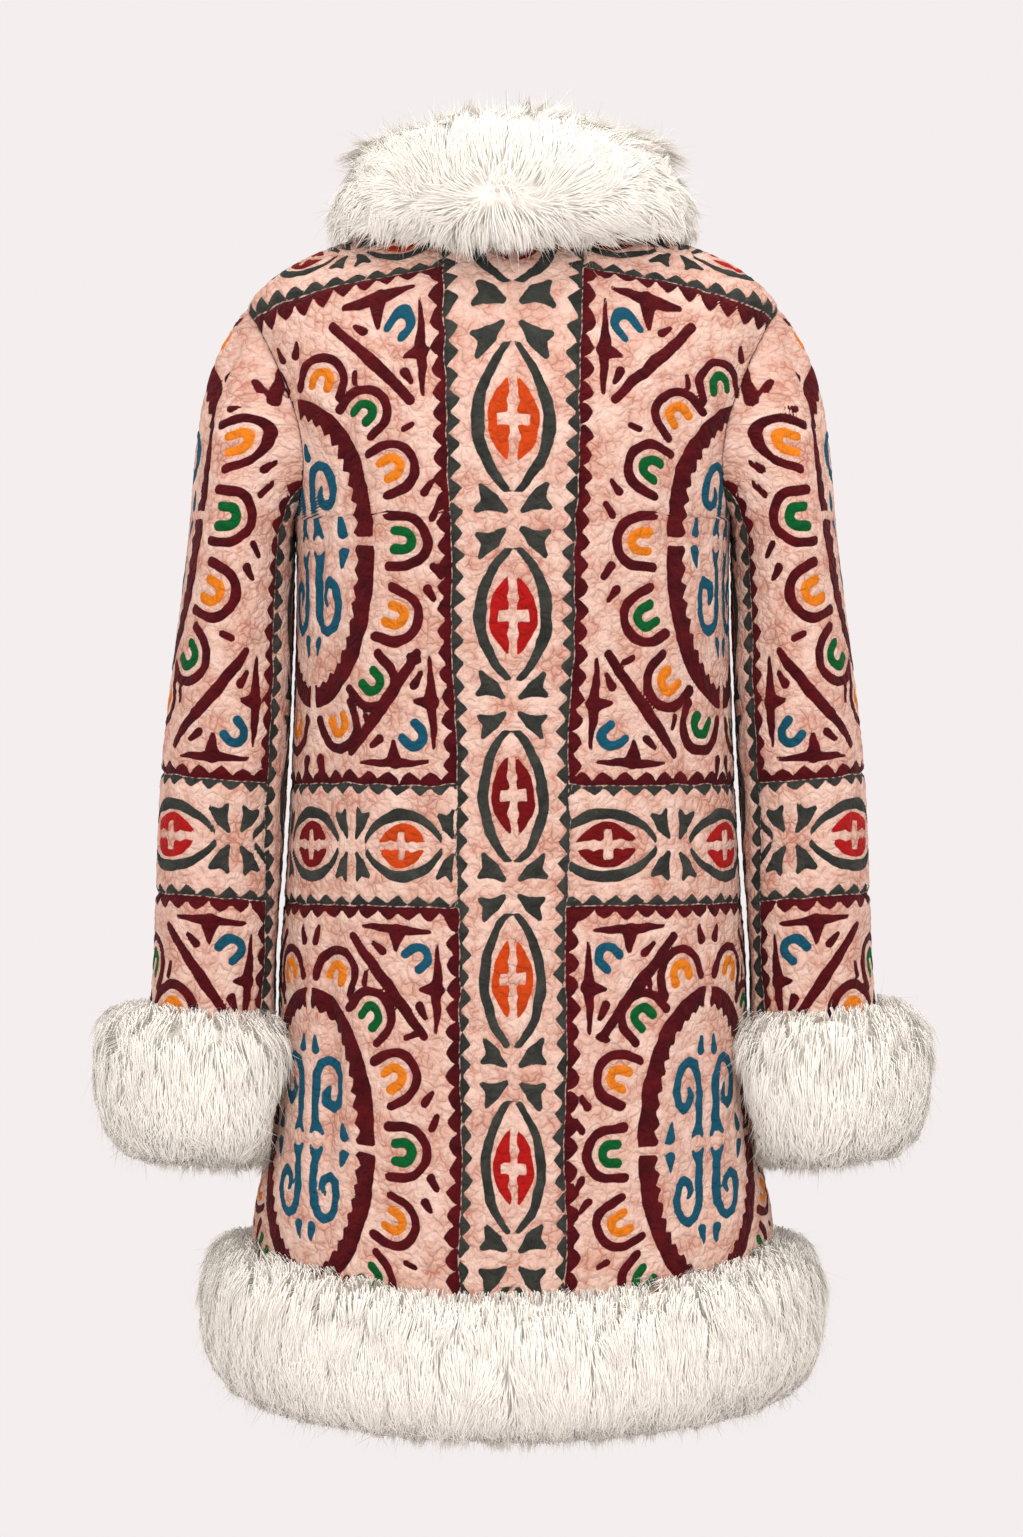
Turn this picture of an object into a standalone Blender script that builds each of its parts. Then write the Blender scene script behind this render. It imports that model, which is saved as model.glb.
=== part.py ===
"""Mid-thigh quilted coat, worn shape with no wearer, with a fur collar, fur cuffs and a fur hem.

Metres, +Z up. The wearer faces -Y, their left is +X, and the origin is between the shoulders,
at the height where the coat rests on them.
"""

import math

import bpy
import numpy as np

MM = 0.001

# Driving sizes
CLOTH_THICKNESS = 3.0 * MM
SEAM_GAP = 0.3 * MM
ARMHOLE_GAP = 0.5 * MM
FRONT_OPENING = 7.0 * MM
PATCH_SEAM_DIP = 1.2 * MM
PATCH_PUFF = 1.0 * MM
FUR_CLEARANCE = 0.8 * MM

# The quilt that the cloth is cut from: upright and level bands between medallion blocks
BAND_HALF_WIDTH = 45.0 * MM
LOW_BAND_LEVEL = 305.0
HIGH_BAND_LEVEL = 397.0

# Levels are millimetres up the cloth from the hem seam, at the side of the body
UNDERARM_LEVEL = 600.0
SHOULDER_LEVEL = 780.0
NECK_LEVEL = 909.0

# Sections of the body, one row for each level, in millimetres
BODY_COLUMNS = ("level", "z_back", "z_side", "z_front", "half_width", "back_depth", "front_depth", "squareness")
BODY_SECTIONS = (
    (-120, -942, -925, -932, 203.5, 152, 154, 2.12),
    (0, -830, -805, -816, 202.5, 149, 151, 2.12),
    (60, -768, -750, -758, 201.0, 146, 148, 2.12),
    (110, -719, -706, -711, 197.0, 142, 144, 2.12),
    (180, -646, -638, -641, 190.0, 137, 139, 2.12),
    (250, -575, -571, -572, 183.0, 132, 134, 2.15),
    (305, -520, -519, -519, 178.0, 128, 130, 2.15),
    (397, -428, -428, -428, 172.5, 124, 126, 2.18),
    (460, -365, -365, -365, 170.0, 123, 125, 2.20),
    (530, -295, -295, -295, 168.0, 125, 126, 2.22),
    (600, -225, -225, -227, 169.5, 126, 127, 2.28),
    (660, -163, -165, -172, 178.5, 121, 122, 2.45),
    (715, -108, -112, -130, 190.5, 108, 113, 2.50),
    (755, -70, -77, -108, 200.5, 91, 104, 2.40),
    (780, -48, -56, -98, 206.0, 78, 98, 2.30),
    (800, -37, -38, -93, 191.0, 70, 94, 2.20),
    (817, -30, -26, -89, 174.5, 66, 91, 2.15),
    (850, -18, -11, -84, 143.0, 62, 87, 2.10),
    (881, -8, -1, -79, 113.0, 59, 83, 2.05),
    (909, 2, 8, -75, 86.0, 57, 80, 2.00),
)

# Soft folds of the body, one row each: angle from the wearer's left side, degrees; level, mm;
# half width, degrees; half length, mm; depth inwards, mm; lean, degrees for each 100 mm of level
FOLD_COLUMNS = ("angle", "level", "half_width", "half_length", "depth", "lean")
BODY_FOLDS = (
    (46, 175, 5.5, 120, 5.0, -1.5),
    (62, 30, 8.0, 90, 4.5, 1.0),
    (104, 20, 8.5, 80, 3.5, 0.5),
    (133, 60, 8.0, 110, 4.5, -1.5),
    (36, 430, 6.0, 90, 3.5, 2.0),
    (47, 640, 6.0, 85, 3.5, 4.0),
    (140, 400, 6.5, 80, 3.0, -2.0),
    (131, 655, 6.0, 75, 3.0, -4.0),
    (90, 500, 9.0, 140, 2.0, 0.0),
    (1, 150, 30.0, 78, 9.0, 0.0),
    (179, 150, 30.0, 78, 9.0, 0.0),
    (222, 50, 8.0, 130, 4.5, 1.5),
    (248, 120, 6.0, 150, 3.5, 1.0),
    (292, 120, 6.0, 150, 3.5, -1.0),
    (318, 50, 8.0, 130, 4.5, -1.5),
    (228, 470, 7.0, 110, 3.0, -2.0),
    (312, 470, 7.0, 110, 3.0, 2.0),
)

# Fur stiffens the cloth it is sewn to: no folds up to this level, and full folds at twice it
HEM_HELD_TO = 35.0

# Armhole, as an egg in the cloth: half widths towards the back and the front, and how far it narrows upwards
ARMHOLE_BACK = 60.0 * MM
ARMHOLE_FRONT = 62.0 * MM
ARMHOLE_NARROWING = 0.45
UNDERARM_TURN = math.radians(150)
SHOULDER_LIFT = math.radians(20)
TURN_SHARPNESS = 1.5

# Sections of the left sleeve down its own line, in millimetres
SLEEVE_COLUMNS = ("drop", "centre_x", "centre_y", "half_width", "half_depth")
SLEEVE_SECTIONS = (
    (262, 214.5, 4.0, 40.0, 65.0),
    (324, 218.0, 7.0, 44.0, 62.0),
    (400, 224.5, 10.0, 46.5, 58.0),
    (470, 228.5, 13.0, 46.8, 55.0),
    (540, 231.5, 16.0, 46.0, 52.0),
    (605, 235.0, 19.0, 45.8, 49.5),
    (635, 237.5, 20.0, 45.5, 49.0),
    (735, 245.0, 24.0, 44.0, 49.0),
)
SLEEVE_TILT = 0.075
BICEP_DROP = 262.0
CUFF_SEAM_DROP = 635.0
CUFF_TOP_DROP = 613.0

# Soft folds of a sleeve: angle from its inner line through the back, degrees; drop, mm; then as above
SLEEVE_FOLDS = (
    (60, 330, 16, 26, 3.0, 10.0),
    (105, 420, 20, 20, 2.5, -8.0),
    (75, 500, 18, 24, 2.5, 8.0),
    (300, 380, 22, 26, 3.5, -8.0),
    (285, 460, 20, 22, 3.0, 8.0),
    (150, 560, 22, 26, 2.0, 0.0),
)

# Fur sections: reach out from the cloth and fall from the line where fur meets cloth. A fall is a share of the
# hem's fur height there, and millimetres on a cuff. They run round the section, from that line over the top.
HEM_COLUMNS = ("reach_mm", "fall")
HEM_FUR = (
    (0.8, 0.00), (5.0, -0.105), (14.0, -0.13), (26.0, -0.02), (35.5, 0.18), (40.5, 0.42), (39.0, 0.62),
    (31.0, 0.80), (18.0, 0.94), (4.0, 1.00), (-3.0, 0.96), (-3.0, 0.56), (-3.0, 0.165), (0.8, 0.165),
)
HEM_FUR_TOP = {"back": -814 * MM, "side": -789 * MM, "front": -800 * MM}
HEM_FUR_FOOT = {"back": -917 * MM, "side": -902 * MM, "front": -906 * MM}

CUFF_COLUMNS = ("reach_mm", "fall_mm")
CUFF_FUR = (
    (0.8, 0), (6.0, -13), (16.0, -17), (31.0, -8), (41.0, 16), (44.5, 42), (42.0, 66), (33.0, 87), (18.0, 102),
    (3.0, 108), (-3.0, 104), (-3.0, 60), (-3.0, 22.4), (0.8, 22.4),
)
CUFF_INNER_REACH = 0.05
CUFF_SQUEEZE_FROM = math.radians(8)
CUFF_SQUEEZE_TO_BACK = math.radians(55)
CUFF_SQUEEZE_TO_FRONT = math.radians(88)

# Collar section: out from and up from the neck seam, at the side, the back and the front, in millimetres
COLLAR_COLUMNS = ("out_side", "up_side", "out_back", "up_back", "out_front", "up_front")
COLLAR_FUR = (
    (61, -10, 19, -24, 16, -20),
    (61, 12, 40, -16, 33, -18),
    (52, 31, 53, 4, 45, -4),
    (40, 47, 55, 32, 47, 17),
    (24, 60, 46, 58, 39, 35),
    (8, 64, 28, 77, 24, 46),
    (-7, 55, 8, 85, 8, 48),
    (-13, 38, -8, 75, -6, 40),
    (-12, 19, -14, 50, -12, 26),
    (-6, 5, -8, 18, -8, 11),
)
COLLAR_LIES_TO_LEVEL = 852.0
COLLAR_UNDERSIDE_STEPS = 4
COLLAR_LIFT = 1.5 * MM
COLLAR_FRONT_TAPER = 0.28

# Facets
BODY_ROWS_BELOW = (0, 50, 100, 150, 200, 252, 305, 351, 397, 448, 499, 550)
ARMHOLE_STEPS = 12
SHOULDER_ROWS = (797, 815, 843, 875, 909)
BAND_FACETS = 2
BACK_PANEL_FACETS = 12
FRONT_PANEL_FACETS = 11
SLEEVE_CAP_ROWS = 7
SLEEVE_ROWS = 11
HEM_FACETS = 56
CUFF_FACETS = 26
COLLAR_FACETS = 38


def table_column(table, columns, name):
    """One named column of a table, as an array."""
    return np.array([row[columns.index(name)] for row in table], float)


def smooth_read(keys, values, at):
    """A smooth curve through (keys, values), read at the given keys, with slopes taken from the neighbours."""
    slopes = np.gradient(values, keys)
    at = np.asarray(at, float)
    k = np.clip(np.searchsorted(keys, at) - 1, 0, len(keys) - 2)
    span = keys[k + 1] - keys[k]
    t = np.clip((at - keys[k]) / span, 0.0, 1.0)
    beyond = at - np.clip(at, keys[0], keys[-1])
    curve = (
        (2 * t**3 - 3 * t**2 + 1) * values[k]
        + (t**3 - 2 * t**2 + t) * span * slopes[k]
        + (3 * t**2 - 2 * t**3) * values[k + 1]
        + (t**3 - t**2) * span * slopes[k + 1]
    )
    return curve + beyond * np.where(beyond < 0, slopes[0], slopes[-1])


def body_column(name, level):
    keys = table_column(BODY_SECTIONS, BODY_COLUMNS, "level")
    return smooth_read(keys, table_column(BODY_SECTIONS, BODY_COLUMNS, name), level)


def fold_depth(folds, angle, along):
    """Depth of all soft folds at an angle in radians and a level or drop in millimetres."""
    depth = np.zeros(np.broadcast(angle, along).shape)
    for at, where, half_width, half_length, deep, lean in folds:
        centre = math.radians(at) + math.radians(lean) * (along - where) / 100.0
        turn = (angle - centre + math.pi) % (2 * math.pi) - math.pi
        depth += deep * MM * np.exp(-((turn / math.radians(half_width)) ** 2) - ((along - where) / half_length) ** 2)
    return depth


def body_point(angle, level):
    """A point on the body's outer face: a rounded oval at each level, pushed in at the folds."""
    angle, level = np.broadcast_arrays(np.asarray(angle, float), np.asarray(level, float))
    c, s = np.cos(angle), np.sin(angle)
    power = 2.0 / body_column("squareness", level)
    half_width = body_column("half_width", level) * MM
    behind = s >= 0
    depth = np.where(behind, body_column("back_depth", level), body_column("front_depth", level)) * MM
    x = half_width * np.sign(c) * np.abs(c) ** power
    y = depth * np.sign(s) * np.abs(s) ** power
    z_side = body_column("z_side", level)
    z_far = np.where(behind, body_column("z_back", level), body_column("z_front", level))
    z = (z_side + (z_far - z_side) * s**2) * MM
    out_x, out_y = x / half_width**2, y / depth**2
    length = np.hypot(out_x, out_y)
    held_flat = np.clip((level - HEM_HELD_TO) / HEM_HELD_TO, 0, 1)
    inwards = fold_depth(BODY_FOLDS, angle, level) * held_flat / length
    return np.stack([x - out_x * inwards, y - out_y * inwards, z], axis=-1)


def unit(vectors):
    return vectors / np.linalg.norm(vectors, axis=-1, keepdims=True)


def body_normal(angle, level):
    """Outward direction of the body's face, from its slopes round and up."""
    turn, rise = 2e-3, 1.0
    around = body_point(angle + turn, level) - body_point(angle - turn, level)
    upwards = body_point(angle, level + rise) - body_point(angle, level - rise)
    return unit(np.cross(around, upwards))


def angle_at_x(x, level):
    """Angle from the side, on the wearer's left, at which the body's face is x from the middle."""
    share = x / (body_column("half_width", level) * MM)
    return math.pi / 2 - np.arcsin(np.clip(share, 0, 1) ** (body_column("squareness", level) / 2))


def angle_at_y(y, level, depth_name):
    """Angle from the side at which the body's face is y behind or before the side seam."""
    share = y / (body_column(depth_name, level) * MM)
    return np.arcsin(np.clip(share, 0, 1) ** (body_column("squareness", level) / 2))


def armhole_edge(turn, widest):
    """Level and distance from the side seam along the armhole; turn is 0 at the underarm and pi at the top."""
    level = UNDERARM_LEVEL + (SHOULDER_LEVEL - UNDERARM_LEVEL) * (1 - np.cos(turn)) / 2
    return level, widest * np.sin(turn) * (1 + ARMHOLE_NARROWING * np.cos(turn))


def side_edge_angle(level, widest, depth_name):
    """Where a panel ends at the side: at the side seam, the armhole or the shoulder seam."""
    share = (level - UNDERARM_LEVEL) / (SHOULDER_LEVEL - UNDERARM_LEVEL)
    turn = np.arccos(np.clip(1 - 2 * share, -1, 1))
    reach = armhole_edge(turn, widest)[1]
    return angle_at_y(np.maximum(reach, SEAM_GAP / 2), level, depth_name)


def panel_rows():
    turns = np.linspace(0, math.pi, ARMHOLE_STEPS + 1)
    armhole_levels = armhole_edge(turns, ARMHOLE_BACK)[0]
    return np.concatenate([BODY_ROWS_BELOW, armhole_levels, SHOULDER_ROWS])


def angles_along(start, end, level, wanted):
    """Angles on one level at the wanted lengths of cloth from start towards end. wanted(total) gives the lengths."""
    fine = np.linspace(start, end, 401)
    steps = np.linalg.norm(np.diff(body_point(fine, level), axis=0), axis=-1)
    travelled = np.concatenate([[0.0], np.cumsum(steps)])
    lengths = wanted(travelled[-1])
    return np.interp(lengths, travelled, fine), lengths


def patch_relief(along, level):
    """Height of the outer face over the plain wall: low along the patch seams and puffed between them."""
    nearest = np.minimum(np.abs(level - LOW_BAND_LEVEL), np.abs(level - HIGH_BAND_LEVEL)) * MM
    nearest = np.minimum(nearest, np.abs(np.abs(along) - BAND_HALF_WIDTH))
    return PATCH_PUFF - (PATCH_PUFF + PATCH_SEAM_DIP) * np.exp(-((nearest / (6 * MM)) ** 2))


def wall_mesh(name, outer, inner, round_closed=False):
    """Closed wall between two grids of points, rows upwards and columns round.

    The faces are the outer skin, the inner skin turned over, and a rim along each open edge.
    """
    rows, cols = outer.shape[:2]
    points = np.concatenate([outer.reshape(-1, 3), inner.reshape(-1, 3)])
    number = np.arange(rows * cols).reshape(rows, cols)
    if round_closed:
        number = np.concatenate([number, number[:, :1]], axis=1)
    under = rows * cols

    def quads(a, b, c, d):
        return np.stack([a.ravel(), b.ravel(), c.ravel(), d.ravel()], axis=-1)

    low_left, low_right = number[:-1, :-1], number[:-1, 1:]
    top_left, top_right = number[1:, :-1], number[1:, 1:]
    faces = [
        quads(low_left, low_right, top_right, top_left),
        quads(low_left + under, top_left + under, top_right + under, low_right + under),
    ]
    loops = [number[0, ::-1], number[-1]]
    if not round_closed:
        loops = [np.concatenate([number[0, ::-1], number[1:, 0], number[-1, 1:], number[-2::-1, -1]])]
    for loop in loops:
        faces.append(quads(loop[:-1], loop[1:], loop[1:] + under, loop[:-1] + under))
    mesh = bpy.data.meshes.new(name)
    mesh.from_pydata(points.tolist(), [], np.concatenate(faces).tolist())
    return mesh


def ring_mesh(name, sections, end_caps):
    """Solid swept through closed sections. With end caps it is open, like a horseshoe; without, it is a ring."""
    stations, around = sections.shape[:2]
    number = np.arange(stations * around).reshape(stations, around)
    following = number[1:] if end_caps else np.roll(number, -1, axis=0)
    current = number[:-1] if end_caps else number
    faces = np.stack(
        [current, following, np.roll(following, -1, axis=1), np.roll(current, -1, axis=1)], axis=-1
    ).reshape(-1, 4).tolist()
    if end_caps:
        faces.append(number[0].tolist())
        faces.append(number[-1, ::-1].tolist())
    mesh = bpy.data.meshes.new(name)
    mesh.from_pydata(sections.reshape(-1, 3).tolist(), [], faces)
    return mesh


def plain_material(name, colour, roughness):
    material = bpy.data.materials.new(name)
    material.use_nodes = True
    shader = material.node_tree.nodes["Principled BSDF"]
    shader.inputs["Base Color"].default_value = (*colour, 1.0)
    shader.inputs["Roughness"].default_value = roughness
    shader.inputs["Metallic"].default_value = 0.0
    return material


def place(name, mesh, material):
    """Puts a finished mesh in the scene, shaded smooth with its sharp rims kept."""
    mesh.validate()
    part = bpy.data.objects.new(name, mesh)
    bpy.context.scene.collection.objects.link(part)
    mesh.materials.append(material)
    mesh.shade_smooth()
    mesh.set_sharp_from_angle(angle=math.radians(50))
    return part


def flipped(mesh):
    mesh.flip_normals()
    return mesh


def body_wall(name, angles, lengths, levels):
    """A panel of the body from the angles and cloth lengths of its grid of points."""
    level = np.repeat(levels[:, None], angles.shape[1], axis=1)
    skin = body_point(angles, level)
    normal = body_normal(angles, level)
    edge = np.zeros(angles.shape, bool)
    edge[[0, 1, -1], :] = True
    edge[:, [0, 1, -2, -1]] = True
    relief = np.where(edge, 0.0, patch_relief(lengths, level))
    return wall_mesh(name, skin + normal * relief[..., None], skin - normal * CLOTH_THICKNESS)


def back_panel(levels):
    """The back, from side seam to side seam, with grid lines along the upright band's two edges."""
    half = np.linspace(0, 1, BAND_FACETS + 1)
    rest = np.linspace(0, 1, BACK_PANEL_FACETS + 1)[1:]

    def wanted(total):
        return np.concatenate([half * BAND_HALF_WIDTH, BAND_HALF_WIDTH + rest * (total - BAND_HALF_WIDTH)])

    angles, lengths = [], []
    for level in levels:
        side = side_edge_angle(level, ARMHOLE_BACK, "back_depth")
        left, along = angles_along(math.pi / 2, side, level, wanted)
        right, _ = angles_along(math.pi / 2, math.pi - side, level, wanted)
        angles.append(np.concatenate([left[::-1], right[1:]]))
        lengths.append(np.concatenate([along[::-1], along[1:]]))
    return body_wall("back", np.array(angles), np.array(lengths), levels)


def front_panel(name, levels, wearer_left):
    """One front, from its open edge to the side seam, with the upright band beside the open edge."""
    half = np.linspace(0, 1, 2 * BAND_FACETS + 1)
    rest = np.linspace(0, 1, FRONT_PANEL_FACETS + 1)[1:]
    band = 2 * BAND_HALF_WIDTH

    def wanted(total):
        return np.concatenate([half * band, band + rest * (total - band)])

    angles, lengths = [], []
    for level in levels:
        side = -side_edge_angle(level, ARMHOLE_FRONT, "front_depth")
        middle = -angle_at_x(FRONT_OPENING / 2, level)
        if wearer_left:
            row, along = angles_along(middle, side, level, wanted)
        else:
            row, along = angles_along(-math.pi - middle, -math.pi - side, level, wanted)
            row, along = row[::-1], along[::-1]
        angles.append(row)
        lengths.append(along - BAND_HALF_WIDTH)
    return body_wall(name, np.array(angles), np.array(lengths), levels)


def sleeve_column(name, drop):
    keys = table_column(SLEEVE_SECTIONS, SLEEVE_COLUMNS, "drop")
    return smooth_read(keys, table_column(SLEEVE_SECTIONS, SLEEVE_COLUMNS, name), drop) * MM


def sleeve_tube(turn, drop, reach=0.0):
    """A point on the straight part of the left sleeve; turn is 0 at its inner line and pi / 2 at its back."""
    turn, drop = np.broadcast_arrays(np.asarray(turn, float), np.asarray(drop, float))
    half_width, half_depth = sleeve_column("half_width", drop), sleeve_column("half_depth", drop)
    out = unit(np.stack([-np.cos(turn) / half_width, np.sin(turn) / half_depth], axis=-1))
    inwards = fold_depth(SLEEVE_FOLDS, turn, drop) * np.clip((CUFF_TOP_DROP - drop) / 20.0, 0, 1)
    across = -np.cos(turn) * half_width + out[..., 0] * (reach - inwards)
    x = sleeve_column("centre_x", drop) + across
    y = sleeve_column("centre_y", drop) + np.sin(turn) * half_depth + out[..., 1] * (reach - inwards)
    return np.stack([x, y, -drop * MM + SLEEVE_TILT * across], axis=-1)


def armhole_frame(turn):
    """Armhole edge of the left side: its points, the face's outward direction, and the way into the hole."""
    turn = np.asarray(turn, float)

    def edge(at):
        at = at % (2 * math.pi)
        behind = at <= math.pi
        level, back = armhole_edge(at, ARMHOLE_BACK)
        front = armhole_edge(2 * math.pi - at, ARMHOLE_FRONT)[1]
        angle = np.where(behind, angle_at_y(np.abs(back), level, "back_depth"),
                         -angle_at_y(np.abs(front), level, "front_depth"))
        return angle, level

    angle, level = edge(turn)
    step = 1e-3
    along = unit(body_point(*edge(turn + step)) - body_point(*edge(turn - step)))
    normal = body_normal(angle, level)
    return body_point(angle, level), normal, unit(np.cross(normal, along))


def sleeve_cap(turn, share):
    """The curved top of the left sleeve, from the armhole at share 0 to the upper arm at share 1.

    Each line is a cubic curve that leaves the armhole along the shoulder at the top, turns right back at the
    underarm, and meets the straight part along its own line.
    """
    start, normal, into_hole = armhole_frame(turn)
    start = start + into_hole * ARMHOLE_GAP
    lowness = (1 + np.cos(turn)) / 2
    fold_back = UNDERARM_TURN * lowness**TURN_SHARPNESS + SHOULDER_LIFT * (1 - lowness)
    end = sleeve_tube(turn, BICEP_DROP)
    leaving = into_hole * np.cos(fold_back)[..., None] + normal * np.sin(fold_back)[..., None]
    leaving[..., 1] = unit(end - start)[..., 1]
    leaving = unit(leaving)
    arriving = unit(end - sleeve_tube(turn, BICEP_DROP + 8.0))
    distance = np.linalg.norm(end - start, axis=-1, keepdims=True)
    first, second = start + leaving * distance * 0.36, end + arriving * distance * 0.40
    t = np.asarray(share, float)[..., None]
    return (1 - t) ** 3 * start + 3 * (1 - t) ** 2 * t * first + 3 * (1 - t) * t**2 * second + t**3 * end


def sleeve_point(turn, along):
    """Left sleeve from the armhole, along 0, past the upper arm, along 1, to the cuff seam, along 2."""
    turn, along = np.broadcast_arrays(np.asarray(turn, float), np.asarray(along, float))
    cap = sleeve_cap(turn, np.clip(along, 0, 1))
    drop = BICEP_DROP + (CUFF_SEAM_DROP - BICEP_DROP) * np.clip(along - 1, 0, 1)
    return np.where((along < 1)[..., None], cap, sleeve_tube(turn, drop))


def sleeve_skin_normal(turn, along):
    """Outward direction of the sleeve's face, from its slopes round and down."""
    step = 4e-3
    around = sleeve_point(turn + step, along) - sleeve_point(turn - step, along)
    down = sleeve_point(turn, np.minimum(along + step, 2)) - sleeve_point(turn, np.maximum(along - step, 0))
    return unit(np.cross(around, down))


def sleeve_wall(name, mirrored):
    back_turns = np.linspace(0, math.pi, ARMHOLE_STEPS + 1)
    turns = np.concatenate([back_turns, 2 * math.pi - back_turns[-2:0:-1]])
    along = np.concatenate([np.linspace(0, 1, SLEEVE_CAP_ROWS + 1), np.linspace(1, 2, SLEEVE_ROWS + 1)[1:]])
    turn, along = np.meshgrid(turns, along)
    outer = sleeve_point(turn, along)
    inner = outer - sleeve_skin_normal(turn, along) * CLOTH_THICKNESS
    if mirrored:
        outer, inner = outer * (-1, 1, 1), inner * (-1, 1, 1)
    mesh = wall_mesh(name, outer, inner, round_closed=True)
    return flipped(mesh) if mirrored else mesh


def cuff_ring(name, mirrored):
    """Fur ring round the end of a sleeve, squeezed thin where it hangs against the body."""
    turn = np.linspace(0, 2 * math.pi, CUFF_FACETS, endpoint=False)[:, None]
    reach = table_column(CUFF_FUR, CUFF_COLUMNS, "reach_mm")[None, :] * MM
    fall = table_column(CUFF_FUR, CUFF_COLUMNS, "fall_mm")[None, :]
    from_inner = np.minimum(turn, 2 * math.pi - turn)
    squeeze_to = np.where(turn < math.pi, CUFF_SQUEEZE_TO_BACK, CUFF_SQUEEZE_TO_FRONT)
    open_share = np.clip((from_inner - CUFF_SQUEEZE_FROM) / (squeeze_to - CUFF_SQUEEZE_FROM), 0, 1)
    open_share = open_share**2 * (3 - 2 * open_share)
    fullness = CUFF_INNER_REACH + (1 - CUFF_INNER_REACH) * open_share
    reach = np.where(reach > FUR_CLEARANCE, FUR_CLEARANCE + (reach - FUR_CLEARANCE) * fullness, reach)
    sections = sleeve_tube(turn, CUFF_TOP_DROP + fall, reach)
    if mirrored:
        return flipped(ring_mesh(name, sections * (-1, 1, 1), end_caps=False))
    return ring_mesh(name, sections, end_caps=False)


def blend_round(values, angle):
    """A value given at the side, back and front, carried smoothly round the body."""
    far = np.where(np.sin(angle) >= 0, values["back"], values["front"])
    return values["side"] + (far - values["side"]) * np.sin(angle) ** 2


def horseshoe_angles(count, level):
    """Angles round the body from one side of the front opening, past the back, to the other."""
    end = angle_at_x(FRONT_OPENING / 2, level)
    return np.linspace(-end, math.pi + end, count + 1)


def hem_ring():
    """Fur band round the hem, open at the front. It covers the end of the cloth and hangs below it."""
    angle = horseshoe_angles(HEM_FACETS, 0.0)[:, None]
    reach = table_column(HEM_FUR, HEM_COLUMNS, "reach_mm")[None, :] * MM
    fall = table_column(HEM_FUR, HEM_COLUMNS, "fall")[None, :]
    top = blend_round(HEM_FUR_TOP, angle)
    z = top + (blend_round(HEM_FUR_FOOT, angle) - top) * fall
    z_hem = body_point(angle, 0.0)[..., 2]
    level = (z - z_hem) / (body_point(angle, 60.0)[..., 2] - z_hem) * 60.0
    skin, normal = body_point(angle, level), body_normal(angle, level)
    normal = unit(normal * (1, 1, 0))
    sections = skin + normal * reach[..., None]
    sections[..., 2] = z
    return flipped(ring_mesh("hem_fur", sections, end_caps=True))


def collar_ring():
    """Fur collar round the neck seam, open at the front, its underside lying on the shoulders."""
    angle = horseshoe_angles(COLLAR_FACETS, NECK_LEVEL)[:, None]
    seam = body_point(angle, NECK_LEVEL)
    out = unit(body_normal(angle, NECK_LEVEL) * (1, 1, 0))
    under_level = np.linspace(NECK_LEVEL - 3, COLLAR_LIES_TO_LEVEL, COLLAR_UNDERSIDE_STEPS)[None, :]
    under = body_point(angle, under_level) + body_normal(angle, under_level) * COLLAR_LIFT
    far = np.sin(angle) ** 2

    def read(direction):
        side = table_column(COLLAR_FUR, COLLAR_COLUMNS, direction + "_side")[None, :]
        back = table_column(COLLAR_FUR, COLLAR_COLUMNS, direction + "_back")[None, :]
        front = table_column(COLLAR_FUR, COLLAR_COLUMNS, direction + "_front")[None, :]
        return (side + (np.where(np.sin(angle) >= 0, back, front) - side) * far) * MM

    to_front = np.clip(-np.sin(angle), 0, 1) ** 6
    size = 1 - COLLAR_FRONT_TAPER * to_front
    over = seam + out * (read("out") * size)[..., None]
    over[..., 2] = seam[..., 2] + read("up") * size
    return ring_mesh("collar_fur", np.concatenate([under, over], axis=1), end_caps=True)


def build():
    for old in list(bpy.data.objects):
        bpy.data.objects.remove(old)
    levels = panel_rows()
    cloth = plain_material("quilted_cotton", (0.86, 0.62, 0.54), 0.85)
    fur = plain_material("cream_fur", (0.90, 0.87, 0.80), 0.95)
    place("back", back_panel(levels), cloth)
    place("front_left", front_panel("front_left", levels, wearer_left=True), cloth)
    place("front_right", front_panel("front_right", levels, wearer_left=False), cloth)
    place("sleeve_left", sleeve_wall("sleeve_left", mirrored=False), cloth)
    place("sleeve_right", sleeve_wall("sleeve_right", mirrored=True), cloth)
    place("cuff_fur_left", cuff_ring("cuff_fur_left", mirrored=False), fur)
    place("cuff_fur_right", cuff_ring("cuff_fur_right", mirrored=True), fur)
    place("hem_fur", hem_ring(), fur)
    place("collar_fur", collar_ring(), fur)


build()
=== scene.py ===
import math

import bpy
import numpy as np
from bpy.props import FloatProperty, FloatVectorProperty, IntProperty, PointerProperty
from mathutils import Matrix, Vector


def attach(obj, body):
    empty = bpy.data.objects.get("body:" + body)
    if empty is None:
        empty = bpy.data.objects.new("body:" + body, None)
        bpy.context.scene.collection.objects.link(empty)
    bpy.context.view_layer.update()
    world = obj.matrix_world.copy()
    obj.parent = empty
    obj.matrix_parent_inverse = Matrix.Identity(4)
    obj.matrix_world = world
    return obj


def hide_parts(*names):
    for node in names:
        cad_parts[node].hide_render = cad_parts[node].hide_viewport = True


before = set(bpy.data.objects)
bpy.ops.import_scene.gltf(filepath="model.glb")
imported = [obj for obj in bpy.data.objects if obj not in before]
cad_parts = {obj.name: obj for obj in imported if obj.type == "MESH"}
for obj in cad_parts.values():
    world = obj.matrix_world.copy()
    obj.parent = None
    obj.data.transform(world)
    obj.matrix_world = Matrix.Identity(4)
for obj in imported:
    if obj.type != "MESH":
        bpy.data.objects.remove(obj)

bl_info = {
    "name": "Quilted coat with fur trim",
    "blender": (4, 5, 0),
    "version": (1, 0, 0),
    "location": "3D View > Sidebar > Coat",
    "description": "Builds the look of a quilted applique coat with fur collar, cuffs and hem",
    "category": "Object",
}

MM = 0.001

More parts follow.
